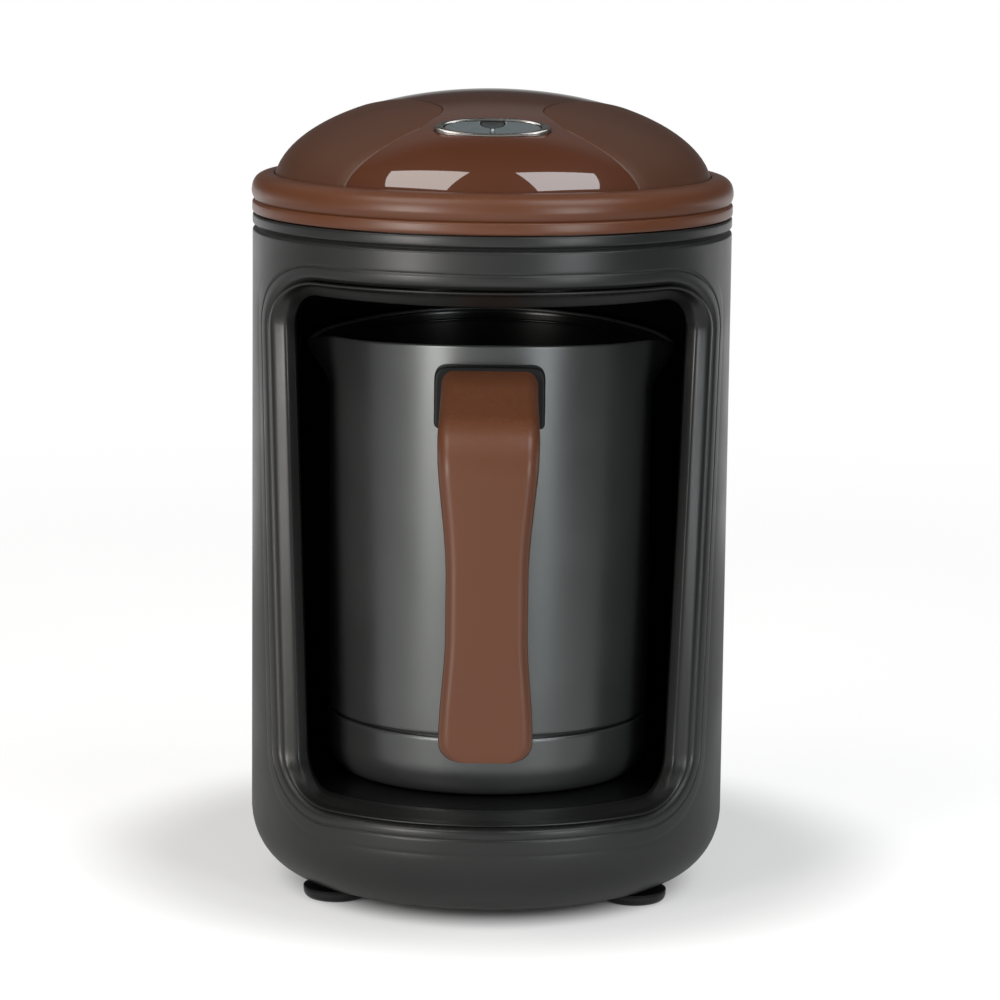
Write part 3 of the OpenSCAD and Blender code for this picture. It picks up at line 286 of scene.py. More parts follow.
# Rows across the wall round the window, from its inner face over the rolled edge to its outer face: share of the way
# (0 window edge, 1 inner line, 2 outer line, 3 field edge), inset
ROLL = [(0, 1.9), (0.005, 1.75), (0.02, 1.62), (0.05, 1.45), (0.09, 1.24), (0.14, 0.99), (0.19, 0.74), (0.235, 0.53),
    (0.28, 0.36), (0.34, 0.215), (0.42, 0.11), (0.52, 0.045), (0.64, 0.012), (0.72, 0.003), (0.8, 0)]
WALL_ROWS = [(share, DRUM_WALL) for share in (3, 2.4, 1.6, 0.8, 0.2)] + [(0, 2.4), (0, 2.15)] + ROLL + [(0.88, 0.02),
    (0.93, 0.1), (0.975, 0.26), (1.025, 0.26), (1.06, 0.1), (1.1, 0.02), (1.16, 0), (1.3, 0), (1.5, 0), (1.7, 0),
    (1.84, 0.01), (1.91, 0.06), (1.96, 0.14), (2.0, 0.17), (2.04, 0.13), (2.1, 0.05), (2.2, 0.01), (2.35, 0), (2.55, 0),
    (2.75, 0), (2.9, 0), (3, 0)]

# Rows up the drum's rim and back, each (height, inset): over the V groove and the softened top edge
RIM_ROWS = np.array([(FIELD_HIGH, 0)]
    + [(GROOVE_Z + up, inset) for up, inset in [(-1.4, 0), (-1.15, 0.04), (-0.9, 0.14), (-0.7, 0.34),
        (-0.15, GROOVE_DEPTH - 0.06), (0, GROOVE_DEPTH), (0.15, GROOVE_DEPTH - 0.06), (0.7, 0.34), (0.85, 0.14),
        (1.05, 0.04), (1.35, 0)]]
    + [(DRUM_TOP - down, inset) for down, inset in [(1.6, 0), (0.9, 0), (0.6, 0.02), (0.35, 0.08), (0.15, 0.2),
        (0.04, 0.34), (0, 0.5), (0, 0.8), (0, DRUM_WALL - 0.2), (0.2, DRUM_WALL), (2.4, DRUM_WALL)]]
    + [(FIELD_HIGH, DRUM_WALL)])


def drum_point(round_mm, height, inset):
    """Point of the drum's wall: round_mm is the way round from the front on the outer face, height is level, and below
    the rounding's start it becomes the turn along the rounding's quarter ellipse; inset goes into the wall."""
    a = round_mm / DRUM_R
    turn = np.clip((ROUND_Z - height) / ROUND_UP, 0, QUARTER)
    r = DRUM_R - ROUND_IN + (ROUND_IN - inset) * np.cos(turn)
    z = np.where(height >= ROUND_Z, height, ROUND_Z - (ROUND_UP - inset) * np.sin(turn))
    return points_of(r * np.sin(a), -r * np.cos(a), z)


def window_outline(side, top, bottom):
    """The window from the front, moved in by side, top and bottom: tapering straight edges joined by quarter ellipses.
    Its points are counted from the middle of the sill, anticlockwise."""
    def half(z):
        return mix(WINDOW_HALF_BOTTOM, WINDOW_HALF_TOP, (z - WINDOW_BOTTOM) / (WINDOW_TOP - WINDOW_BOTTOM))
    low, high = WINDOW_BOTTOM + WINDOW_CORNER, WINDOW_TOP - WINDOW_CORNER
    x_low, x_high = half(low) - WINDOW_CORNER, half(high) - WINDOW_CORNER
    rx, r_top, r_bottom = WINDOW_CORNER - side, WINDOW_CORNER - top, WINDOW_CORNER - bottom
    e = np.linspace(0, 1, EDGE_N + 1)
    q = np.linspace(0, QUARTER, CORNER_N + 1)
    u = np.linspace(0, 1, UPRIGHT_N + 1)[1:-1]
    right = np.concatenate([
        points_of(e[:-1] * x_low, low - r_bottom),
        points_of(x_low + rx * np.sin(q), low - r_bottom * np.cos(q)),
        points_of(mix(x_low, x_high, u) + rx, mix(low, high, u)),
        arc(x_high, high, rx, r_top, q),
        points_of(e[-2::-1] * x_high, high + r_top)])
    return np.concatenate([right, right[-2:0:-1] * (-1, 1)])


def line_round(edge, out, distances):
    """The window's edge moved out by the mean of the distances beside, above and below it, weighed by how far the way
    out points there."""
    weights = points_of(np.abs(out[:, 0]), np.clip(out[:, 1], 0, 1), np.clip(-out[:, 1], 0, 1))
    return edge + out * (weights * distances).sum(-1, keepdims=True) / weights.sum(-1, keepdims=True)


def drum_parts():
    """The drum's wall as one closed skin. Round the window, loops run from its outline over the two fine lines to a
    rectangle in the unrolled wall; sheets close the back, and bands carry the rim above and the rounding below."""
    window = window_outline(0, 0, 0)
    edge = points_of(DRUM_R * np.arcsin(window[:, 0] / DRUM_R), window[:, 1])
    along = np.roll(edge, -1, 0) - np.roll(edge, 1, 0)
    out = unit(points_of(along[:, 1], -along[:, 0]))
    inner_line, outer_line = line_round(edge, out, INNER_LINE), line_round(edge, out, OUTER_LINE)
    x, y = outer_line.T
    low, high = outer_line[SPLIT_LOW], outer_line[SPLIT_HIGH]
    order = np.arange(len(edge))
    from_sill = np.minimum(order, len(edge) - order)
    below, above = from_sill < SPLIT_LOW, from_sill > SPLIT_HIGH
    beside = np.where(order > LAST, -FIELD_HALF, FIELD_HALF)
    field = points_of(
        np.where(below, x * FIELD_HALF / low[0], np.where(above, x * FIELD_HALF / high[0], beside)),
        np.where(below, FIELD_LOW, np.where(above, FIELD_HIGH,
            mix(FIELD_LOW, FIELD_HIGH, (y - low[1]) / (high[1] - low[1])))))

    # the outer line fades out over the window and is half as deep under it
    over, under = 1 - smooth((out[:, 1] - 0.15) / 0.7), 1 - 0.5 * smooth(-2 * out[:, 1])
    lines = [edge, inner_line, outer_line, field]
    rows = []
    for share, inset in WALL_ROWS:
        k = max(math.ceil(share) - 1, 0)
        place = mix(lines[k], lines[k + 1], share - k)
        if 1.5 < share < 2.5 and inset < 1:
            inset = inset * over * under
        rows.append(drum_point(place[:, 0], place[:, 1], inset))
    parts = [sheet(rows, wrap_cols=True)]

    round_back = np.linspace(FIELD_HALF, FULL_TURN * DRUM_R - FIELD_HALF, 97)
    side_heights = field[SPLIT_LOW:SPLIT_HIGH + 1, 1]
    for inset in (0, DRUM_WALL):
        parts.append(sheet(drum_point(round_back[None, :], side_heights[:, None], inset)))

    def band(front_half, rows):
        """A band all round the drum from rows of (height, inset), with the field's own points in front."""
        around = np.concatenate([np.unique([front_half, -front_half]), round_back[1:-1]])
        return sheet(drum_point(around[None, :], rows[:, :1], rows[:, 1:]), wrap_cols=True)
    parts.append(band(field[SPLIT_HIGH:LAST + 1, 0], RIM_ROWS))
    end = ROUND_Z - ROUND_UP * math.acos((SHELL_END_R - DRUM_R + ROUND_IN) / ROUND_IN)
    drop = np.linspace(FIELD_LOW, end, 18)
    insets = np.concatenate([np.zeros(17), [0.5, DRUM_WALL - 0.3], np.full(17, DRUM_WALL)])
    parts.append(band(field[:SPLIT_LOW + 1, 0], points_of(np.concatenate([drop, drop[::-1]]), insets)))
    return parts


def window_frame_parts():
    """The frame round the window: one closed section with softened corners, carried round the window's outline. A
    section point is (inset at the sides, at the lintel, at the sill, radius that it lies on, softening)."""
    s = np.array([
        (0.35, 0.35, 0.35, DRUM_R - 2.3, 0.1),
        (0.4, 0.4, 0.4, DRUM_R - 1.3, 0.2),
        (0.5, 0.45, 0.45, DRUM_R - 0.1, 0.6),
        (1.7, 1.2, 1.05, DRUM_R - 0.6, 0.35),
        (FACE_SIDE - 0.9, FACE_LINTEL - 0.4, FACE_SILL - 0.35, FACE_R + 0.5, 0.25),
        (FACE_SIDE, FACE_LINTEL, FACE_SILL, FACE_R - 0.25, 0.4),
        (FRAME_SIDE - 0.1, FRAME_LINTEL - 0.1, FRAME_SILL - 0.05, LIP_BACK_R + 3.1, 0.12),
        (FRAME_SIDE, FRAME_LINTEL, FRAME_SILL, LIP_BACK_R, 0.1),
        (FRAME_SIDE - 1.6, FRAME_LINTEL - 1.6, FRAME_SILL - 1.6, LIP_BACK_R, 0.1),
        (3.5, 1.2, 0.8, INNER_R - 1.6, 0.1),
        (0.35, 0.35, 0.35, INNER_R - 0.3, 0.1)])
    p, soft = s[:, :4], s[:, 4:]
    before, after = mix(p, np.roll(p, 1, 0), soft), mix(p, np.roll(p, -1, 0), soft)
    t = np.linspace(0, 1, 7)[None, :, None]
    section = parabola(before[:, None], p[:, None], after[:, None], t).reshape(-1, 4)
    rows = [on_round(window_outline(*insets), radius) for *insets, radius in section]
    return [sheet(rows, wrap_rows=True, wrap_cols=True)]


# ---- top

# The collar's low band and its hidden inner side, each (radius, height)
COLLAR_BAND = [(69.95, 199.05), (70.08, 199.3), (70.12, 199.8), (70.12, 201.5), (70.05, 201.8), (69.85, 202.05),
    (69.5, 202.2)]
COLLAR_INSIDE = [(DOME_R + 0.3, DOME_Z), (DOME_R + 0.3, 201.9), (DOME_R + 0.2, 201.8), (60.6, 201.8), (60.5, 201.7),
    (60.5, 200.1), (60.4, 200.0), (64.3, 197.6), (64.2, 197.5), (64.2, 189.65), (64.3, 189.55), (66.9, 189.55),
    (67.0, 189.65), (67.0, 198.7), (67.1, 198.8), (69.5, 198.8), (69.8, 198.85)]

# The right lobe's plan from its corner: its front edge, and its long curve to the back
LOBE_FRONT = [(19.9, -40.0), (20.7, -40.9), (22.2, -41.8), (26, -43.7), (30.5, -45.6), (35.5, -47.0), (40.4, -47.9),
    (46, -48.6), (54, -49)]
LOBE_CURVE = [(19.9, -40.0), (19.3, -38.9), (17.4, -36.4), (15.2, -33.4), (14.2, -30.3), (14.7, -26.6), (17.0, -21.8),
    (21.7, -14.2), (27.0, -6.2), (32.5, 2.2), (39, 13.5), (46.5, 27), (55, 42)]
LOBE_GAP, LOBE_SOFT, LOBE_THICK, POCKET_THICK, POCKET_OVER = 0.12, 0.6, 1.3, 1.4, 1.5
LOBE_ROWS, LOBE_COLS = 56, 110


def collar_parts():
    """The brown collar, turned about the axis: a low band, an undercut groove, a tall band that rolls over its upper
    edge along a parabola, and a top that rises gently to the dome."""
    undercut = parabola((69.2, 202.3), (69.9, 202.75), (COLLAR_R, 204.7), np.linspace(0, 1, 16)[:, None])
    roll = parabola((COLLAR_R, 205.1), (COLLAR_R - 0.15, COLLAR_TOP - 0.55), (66.4, COLLAR_TOP),
        np.linspace(0, 1, 30)[:, None])
    top = [(65.6, COLLAR_TOP + 0.06), (64.7, COLLAR_TOP + 0.1), (64.1, COLLAR_TOP + 0.1), (63.85, COLLAR_TOP),
        (63.72, COLLAR_TOP - 0.2), (63.68, COLLAR_TOP - 0.6), (63.9, COLLAR_TOP - 1.6)]
    return [turned(np.concatenate([COLLAR_BAND, undercut, roll, top, COLLAR_INSIDE]), 288)]


def dome_rise(r):
    """Height of the dome over its rim at radius r: a quarter ellipse."""
    return DOME_H * np.sqrt(np.maximum(0, 1 - (r / DOME_R) ** 2))


def dome_parts():
    """The dome's wall: quarter ellipses outside and inside and a short upright foot, turned about the axis."""
    q = np.linspace(0, QUARTER, 90)
    outer = arc(0, DOME_Z, DOME_R, DOME_H, q)
    inner = arc(0, DOME_Z, DOME_R - DOME_WALL, DOME_H - DOME_WALL, q[::-3])
    foot = [(DOME_R - DOME_WALL, DOME_FOOT_Z), (DOME_R - DOME_WALL + 0.1, DOME_FOOT_Z - 0.05),
        (DOME_R - 0.1, DOME_FOOT_Z - 0.05), (DOME_R, DOME_FOOT_Z + 0.05)]
    return [turned(np.concatenate([outer, inner, foot]), 288)]


def lobe_outline(inset):
    """Plan of the right lobe from its corner: the front edge and the long curve, both moved in by inset."""
    lines = []
    for points, side in ((LOBE_FRONT, -1), (LOBE_CURVE, 1)):
        line = through(points, 220)
        along = unit(np.gradient(line, axis=0))
        lines.append(line + points_of(along[:, 1], -along[:, 0]) * side * inset)
    lines[0][0] = lines[1][0] = (lines[0][0] + lines[1][0]) / 2
    return lines


def cut_off(line, reach):
    """The line from its start to where it first reaches a radius."""
    r = np.linalg.norm(line, axis=-1)
    k = int(np.argmax(r > reach))
    return np.concatenate([line[:k], [mix(line[k - 1], line[k], (reach - r[k - 1]) / (r[k] - r[k - 1]))]])


def at_shares(line, share):
    """Points of the line at the given shares of its length."""
    step = np.concatenate([[0], np.cumsum(np.linalg.norm(np.diff(line, axis=0), axis=-1))])
    at = share * step[-1]
    return points_of(np.interp(at, step, line[:, 0]), np.interp(at, step, line[:, 1]))


def polar(p):
    """(radius, angle) of flat points."""
    return points_of(np.linalg.norm(p, axis=-1), np.arctan2(p[:, 1], p[:, 0]))


def segment_distance(points, a, b):
    """Distance of each point to the nearest of the straight pieces a to b."""
    ab = b - a
    t = np.clip(((points[:, None] - a) * ab).sum(-1) / np.maximum((ab * ab).sum(-1), 1e-9), 0, 1)
    return np.linalg.norm(points[:, None] - a - t[..., None] * ab, axis=-1).min(-1)


def lobe_parts(side, gap=LOBE_GAP, drop=LOBE_THICK, over=None):
    """A satin lobe laid into the dome. In polar places about the axis, rows run from the lobe's corner to the rim and
    columns from its front edge to its long curve; near the outline the face falls away along a quarter circle. With
    over, it is the block of the lobe's pocket instead, from drop under the dome's face to over above it."""
    rim = DOME_R * math.sqrt(1 - (1.2 / DOME_H) ** 2) - 0.02
    front, curve = (cut_off(line, rim) for line in lobe_outline(gap))
    share = np.concatenate([[0, 0.006, 0.015, 0.03], np.linspace(0.05, 0.985, LOBE_ROWS - 7), [0.992, 0.997, 1]])
    f, c = at_shares(front, share), at_shares(curve, share)
    width = np.maximum(np.linalg.norm(f - c, axis=-1)[:, None], 2.2)
    near = np.array([0, 0.05, 0.12, 0.22, 0.36, 0.56, 0.9])[None, :] / width
    middle = mix(near[:, -1:], 1 - near[:, -1:], np.linspace(0, 1, LOBE_COLS)[None, 1:-1])
    across = np.concatenate([near, middle, 1 - near[:, ::-1]], 1)[..., None]
    place = mix(polar(f)[:, None], polar(c)[:, None], across)
    xy = points_of(place[..., 0] * np.cos(place[..., 1]), place[..., 0] * np.sin(place[..., 1]))
    flat = xy.reshape(-1, 2)
    rise = dome_rise(np.linalg.norm(flat, axis=-1))
    normal = unit(points_of(flat[:, 0] / DOME_R ** 2, flat[:, 1] / DOME_R ** 2, rise / DOME_H ** 2))
    if over is None:
        edge = np.concatenate([front[::-1], curve[1:]])
        away = segment_distance(flat, edge[:-1], edge[1:])
        fall = LOBE_SOFT - np.sqrt(np.maximum(0, LOBE_SOFT ** 2 - (LOBE_SOFT - np.minimum(away, LOBE_SOFT)) ** 2))
        over = (0.15 + 0.22 * smooth(away / 3) - 0.75 * fall)[:, None]
    face = level(flat, DOME_Z + rise)
    upper, lower = (skin.reshape(*xy.shape[:2], 3) for skin in (face + normal * over, face - normal * drop))
    def rim_loop(a):
        return np.concatenate([a[0], a[1:-1, -1], a[-1, ::-1], a[-2:0:-1, 0]])
    high, low = rim_loop(upper), rim_loop(lower)
    parts = [sheet(upper), sheet(lower), sheet([high, mix(high, low, 0.5), low], wrap_cols=True)]
    return [(points * (side, 1, 1), faces) for points, faces in parts]


# ---- controls

# The controls' own frame: origin on the dome, +Z out of it, +Y up the slope
SLOPE_RISE = math.sqrt(1 - (CONTROL_Y / DOME_R) ** 2)
TILT = math.atan(DOME_H * CONTROL_Y / (DOME_R ** 2 * SLOPE_RISE))
SLOPE_AT = np.array([0, -CONTROL_Y, DOME_Z + DOME_H * SLOPE_RISE])

# Pads: half the gap between them, how far they are sunk, and the circle that cuts them back round the hub
PAD_GAP, PAD_SUNK, BITE_Y, BITE_R = 0.62, 0.35, 3.1, 3.6
PAD_MIDDLE, STEM_X, STEM_R, HUB_Y, LENS_Y, LENS_R = 8.0, 8.5, 1.9, 2.2, -1.3, 0.5


def on_slope(parts):
    """Parts told in the controls' frame, tilted and set on the dome."""
    c, s = math.cos(TILT), math.sin(TILT)
    turn = np.array([[1, 0, 0], [0, c, -s], [0, s, c]])
    return [(points @ turn.T + SLOPE_AT, faces) for points, faces in parts]


def well_parts():
    """The block that cuts the controls' opening: an ellipse just wider than the ring."""
    plan = ellipse(OVAL_L / 2 + 0.12, OVAL_W / 2 + 0.12)
    return on_slope(capped([level(plan, -9), level(plan, 5)]))


def oval_parts():
    """The chrome ring: its inner outline is shorter than its outer one, so that it widens at both ends; the top is a
    half round that is as wide as the ring."""
    q = np.linspace(0, HALF_TURN, 17)
    outer, inner = ellipse(OVAL_L / 2, OVAL_W / 2), ellipse(OVAL_L / 2 - 2.6, OVAL_W / 2 - 1.0)
    top = [level(mix(outer, inner, share), z)
        for share, z in zip((1 - np.cos(q)) / 2, OVAL_PROUD - 0.55 + 0.55 * np.sin(q))]
    return on_slope([sheet([level(outer, -4), *top, level(inner, -4)], wrap_rows=True, wrap_cols=True)])


def pad_parts(side):
    """One push pad, a little below the ring: the end of an ellipse cut back by a circle that opens upwards round the
    hub, with a softened edge and a dished face, and its guided stem."""
    a, b = OVAL_L / 2 - 2.75, OVAL_W / 2 - 1.15
    low = -math.acos(PAD_GAP / a)
    q = np.linspace(low, QUARTER, 600)
    inside = np.hypot(a * np.cos(q), b * np.sin(q) - BITE_Y) < BITE_R
    q = np.linspace(low, q[np.argmax(inside)], 81)
    end = arc(0, 0, a, b, q)
    turn = np.linspace(math.atan2(end[-1, 1] - BITE_Y, end[-1, 0]), -math.acos(PAD_GAP / BITE_R), 33)
    outline = np.concatenate([end, arc(0, BITE_Y, BITE_R, BITE_R, turn)]) * (side, 1)
    middle = np.array([side * PAD_MIDDLE, 0])
    rows = [level(mix(middle, outline, share), z - PAD_SUNK) for share, z in [(1, -1.4), (1, -0.12), (0.985, 0.02),
        (0.955, 0.12), (0.91, 0.16), (0.8, 0.1), (0.6, 0.0), (0.4, -0.07), (0.2, -0.1)]]
    stem = softened([(0, -8.2, 0), (STEM_R, -8.2, 0.2), (STEM_R, -1.3, 0), (0, -1.3, 0)], 4)
    return on_slope(capped(rows) + [turned(stem, 32, centre=(side * STEM_X, 0))])


def edge_reach(start, heading, middle, rx, ry):
    """How far each heading runs from start to the ellipse about middle: the larger root of the quadratic."""
    p, v = (start - middle) / (rx, ry), heading / (rx, ry)
    a, b, c = (v * v).sum(-1), (p * v).sum(-1), (p * p).sum(-1) - 1
    return (np.sqrt(b * b - a * c) - b) / a


def hub_parts():
    """The dark middle of the controls: an oval floor, and an island that fills the pads' bite up to the ring."""
    middle = np.array([0, HUB_Y])
    heading = ellipse(1, 1, 96)
    reach = np.minimum(edge_reach(middle, heading, (0, BITE_Y), BITE_R - 0.35, BITE_R - 0.35),
        edge_reach(middle, heading, 0, OVAL_L / 2 - 2.85, OVAL_W / 2 - 1.25))[:, None]
    island = [level(middle + heading * reach * share, z) for share, z in [(1, -3), (1, -0.75), (0.97, -0.6),
        (0.9, -0.52), (0.7, -0.56), (0.4, -0.66), (0.1, -0.7)]]
    floor = ellipse(13.4, 4.1)
    return on_slope(capped(island) + capped([level(floor, -4), level(floor, -2.6)]))


def lens_parts():
    """The status light: a small round lens between the pads."""
    outline = softened([(0, -2.6, 0), (LENS_R, -2.6, 0), (LENS_R, -0.1, 0.2), (0, 0.02, 0)], 6)
    return on_slope([turned(outline, 32, centre=(0, LENS_Y))])


# ---- pot

def rim_radius(a):
    """The rim's radius at angle a: a circle whose tangents meet in two rounded spouts, at 0 and 180 degrees."""
    spout = math.acos(POT_R / SPOUT_REACH) + SPOUT_SOFT
    off = np.abs((a + QUARTER) % HALF_TURN - QUARTER)
    return POT_R / np.cos(np.maximum(0, spout - np.sqrt(off ** 2 + SPOUT_SOFT ** 2)))


def cup_skin(rows):
    """Rings of the pot's wall, each (height, inset), flared into the two spouts towards the rim, where they dip by a
    cosine squared and more at the spouts; closed by discs."""
    a = np.linspace(0, FULL_TURN, 384, endpoint=False)
    rim = rim_radius(a)
    reach = (rim - POT_R) / (SPOUT_REACH - POT_R)
    z, inset = np.array(rows)[:, :1], np.array(rows)[:, 1:]
    flare = smooth((z - SPOUT_Z) / SPOUT_H)
    r = mix(POT_R, rim, flare) - inset
    dip = flare * (SPOUT_DIP * reach ** 2 + SIDE_DIP * np.cos(a) ** 2)
    return capped(points_of(r * np.cos(a), r * np.sin(a), z - dip))


def wall_rows(inset, start, end, n):
    """n rows of the pot's wall at one inset, evenly from one height to another."""
    return [(z, inset) for z in np.linspace(start, end, n)]


def arc_rows(height, rise, inset, share, turns):
    """Rows along part of a circle: height plus rise times the sine of each turn, inset plus share times its cosine."""
    return [(height + rise * math.sin(t), inset + share * math.cos(t)) for t in turns]


def bowl_rows(radius):
    """Rows down the round inner corner of the pot's floor."""
    return arc_rows(CUP_Z + 9.2, -radius, 9, -radius, np.linspace(0, QUARTER, 9))


def cup_parts():
    """The pot's metal wall: rings up to a rolled top edge, and the same wall inside down to a rounded floor."""
    wall, edge_r = 1.0, 0.6
    rows = [(CUP_Z, 40), (CUP_Z, wall), (CUP_Z + 0.08, 0.55), (CUP_Z + 0.3, 0.18), (CUP_Z + 0.7, 0), (CUP_Z + 1.2, 0)]
    rows += wall_rows(0, CUP_Z + 6, SPOUT_Z, 16) + wall_rows(0, SPOUT_Z + 0.8, RIM_Z - 0.9, 26)
    rows += arc_rows(RIM_Z - edge_r, edge_r, edge_r, -edge_r, np.linspace(0, HALF_TURN, 11))
    rows += wall_rows(wall, RIM_Z - 1.2, SPOUT_Z, 22) + wall_rows(wall, SPOUT_Z - 8, CUP_Z + 9.5, 10)
    return cup_skin(rows + bowl_rows(8) + [(CUP_Z + 1.2, inset) for inset in (14, 30, 40)])


def inside_shade_skin_parts():
    """A black skin inside the pot that paints the shade in it: a thin skin from the floor up to the rolled edge, with
    one fine round bead.
    """
    face, back, bead_r = 1.15, 0.85, 0.5
    rows = [(CUP_Z + 1.35, 40), (CUP_Z + 1.35, 20)] + bowl_rows(9 - face)[::-1]
    rows += wall_rows(face, CUP_Z + 9.5, SPOUT_Z - 8, 10) + wall_rows(face, SPOUT_Z, RIM_Z - 4.8, 20)
    rows += arc_rows(RIM_Z - 3.9, bead_r, face, bead_r, np.linspace(-QUARTER, QUARTER, 9))
    rows += [(RIM_Z - down, inset) for down, inset in [(3.1, face), (2, face), (0.8, face), (0.66, face - 0.1),
        (0.66, back + 0.1), (0.8, back)]]
    rows += wall_rows(back, RIM_Z - 1.2, SPOUT_Z, 20) + wall_rows(back, SPOUT_Z - 8, CUP_Z + 9.5, 10)
    return cup_skin(rows + bowl_rows(9 - back) + [(CUP_Z + 1.05, 20), (CUP_Z + 1.05, 40)])


def skirt_parts():
    """The skirt under the pot: a turned wall with its foot rounded along a quarter ellipse and a softened top edge."""
    foot_in, foot_up, seat_r, hole_r = 5, 9, 40.55, 38.4
    foot = arc(POT_R - foot_in, POT_Z + foot_up, foot_in, foot_up, np.linspace(-QUARTER, 0, 18))
    wall = [(POT_R, POT_Z + foot_up + 0.6)] + [(POT_R - inset, SKIRT_TOP - down) for inset, down in [(0, 1.2),
        (0, 0.7), (0.06, 0.4), (0.2, 0.16), (0.45, 0.02), (0.7, 0), (3.2, 0)]]
    inside = [(POT_R - 3.2, POT_Z + 6), (POT_R - 5.8, POT_Z + 4), (hole_r, POT_Z + 4), (hole_r, POT_Z + 2.42),
        (seat_r, POT_Z + 2.42), (seat_r, POT_Z)]
    return [turned(np.concatenate([foot, wall, inside]), 256)]


def plug_slot_parts():
    """The block that cuts the plug's slot out of the back of the skirt."""
    plan = np.array([(-9.1, 30), (9.1, 30), (9.1, 60), (-9.1, 60)])
    return capped([level(plan, 39.8), level(plan, 49.2)])


# ---- handle

# Places along the handle: the arm up to 1, the knee up to 2 and the grip up to 3, closer together at its foot
HANDLE_S = np.concatenate([np.linspace(0, 1, 14)[:-1], np.linspace(1, 2, 20)[:-1], np.linspace(2, 2.95, 60)[:-1],
    2.95 + 0.05 * np.sin(np.linspace(0, QUARTER, 12))])

# The two halves' section from the seam to the side, each (millimetres in from the side, depth share)
FRONT_SEAM = [(0.9, 0.42), (0.25, 0.42), (0.05, 0.433), (0, 0.46), (0, 0.6)]
BACK_SEAM = [(0.9, 0.415), (0.25, 0.415), (0.05, 0.402), (0, 0.38)]


def edge_line(reach, top, r):
    """One long edge of the handle from the side, as (distance in front, height): along the arm, round a corner of
    radius r, and down the grip."""
    knee = np.array([reach, top - (reach - ARM_START) * math.tan(ARM_FALL)])
    run = r * math.tan(math.pi / 4 - ARM_FALL / 2)
    start, end = knee + run * np.array([-math.cos(ARM_FALL), math.sin(ARM_FALL)]), knee - (0, run)
    s = HANDLE_S[:, None]
    a = (QUARTER - ARM_FALL) * (2 - s)
    arm = mix(np.array([ARM_START, top]), start, s)
    corner = end - (r, 0) + r * np.concatenate([np.cos(a), np.sin(a)], -1)
    grip = mix(end, np.array([reach, GRIP_FOOT_Z]), s - 2)
    return np.where(s <= 1, arm, np.where(s <= 2, corner, grip))


def grip_half(z):
    """Half the handle's width at height z: a waist that widens by one cubic step upwards and another one downwards,
    narrows by a third one towards the pot, and loses the rounding of the foot's corners."""
    w = WAIST_W + KNEE_MORE * smooth((z - 104) / 44) - ARM_LESS * smooth((z - 139) / 10)
    w = w + FOOT_MORE * smooth((90 - z) / 30)
    d = np.clip(FOOT_ROUND - (z - GRIP_FOOT_Z), 0, FOOT_ROUND)
    return w / 2 - (FOOT_ROUND - np.sqrt(FOOT_ROUND ** 2 - 0.98 * d ** 2))


def handle_half(side, seam, bend_from, face):
    """The front or back half of the handle, closed. Its section runs from the seam up one side, round the long edge
    along a quarter ellipse to the face, and back the same way on the other side; depth is 0 at the handle's back and
    1 at its front."""
    a = np.linspace(0, QUARTER, 9)
    bend = points_of(GRIP_EDGE * (1 - np.cos(a)), mix(bend_from, face, np.sin(a)))
    one_side = np.concatenate([seam, bend])
    inset, depth = np.concatenate([one_side, one_side[::-1]]).T[:, None]
    sides = np.repeat([side, -side], len(one_side))[None]
    back = edge_line(GRIP_BACK, ARM_TOP_Z - ARM_THICK / math.cos(ARM_FALL), KNEE_BACK_R)
    front = edge_line(GRIP_FRONT, ARM_TOP_Z, KNEE_FRONT_R)
    half = grip_half(mix(back, front, 0.5)[:, 1])[:, None]
    place = mix(back[:, None], front[:, None], depth[..., None])
    return capped(points_of(sides * (half - inset), -place[..., 0], place[..., 1]))


def bracket_parts():
    """The black bracket: a rounded plate between the pot's round wall and the arm, its front edge softened."""
    half, top, low, wall_r = 15.7, RIM_Z - 5.5, RIM_Z - 23.2, POT_R + 0.02
    plan = softened([(half, low, 1.7), (half, top, 4.2), (-half, top, 4.2), (-half, low, 1.7)], 12, 0.1)
    inwards = unit(np.array([0, (top + low) / 2]) - plan)
    rings = [on_round(plan, wall_r)]
    for y, inset in [(50.6, 0), (51.4, 0.06), (51.75, 0.25), (51.95, 0.55), (52.0, 0.95)]:
        ring = plan + inwards * inset
        rings.append(points_of(ring[:, 0], -y, ring[:, 1]))
    inner = [on_round(mix(plan, plan.mean(0), t), wall_r) for t in np.linspace(0, 0.98, 12)]
    return [sheet(rings, wrap_cols=True), fan(rings[-1]), sheet(inner, wrap_cols=True), fan(inner[-1])]


# ---- feet and cord inlet

def feet_parts():
    """Four rubber feet: a disc with a rolled edge and a stud, turned."""
    foot_r, foot_h, stud_r, stud_top = 9.6, 3.4, 2.6, 7.4
    outline = softened([(0, 0, 0), (foot_r, 0, 2.6), (foot_r, foot_h, 0.5), (stud_r, foot_h, 0),
        (stud_r, stud_top, 0.3), (0, stud_top, 0)], 7)
    out, a = 52.3, math.radians(33.7)
    x, y = out * math.cos(a), out * math.sin(a)
    return [turned(outline, 72, centre=(i * x, j * y)) for i in (-1, 1) for j in (-1, 1)]


def through_back(outline, steps, start):
    """The outline (radius, distance) turned about the line that leaves the drum's back at the gland's height."""
    points, faces = turned(outline, steps)
    return [(points_of(points[:, 0], start + points[:, 2], GLAND_Z - points[:, 1]), faces)]


def gland_parts():
    """The cord inlet: a sleeve through the drum's wall with a rounded flange outside, bored through."""
    bore_r, collar_r, neck_r, flange_r, length = 3.4, 6.4, 5, 6.8, 6.8
    outline = softened([(bore_r, 0, 0.3), (collar_r, 0, 0.2), (collar_r, 2.6, 0.2), (neck_r, 2.6, 0), (neck_r, 5.5, 0),
        (flange_r, 5.5, 0.2), (flange_r, length, 0.7), (bore_r, length, 0.6)], 6)
    return through_back(outline, 72, INNER_R - 3)


# ---- materials

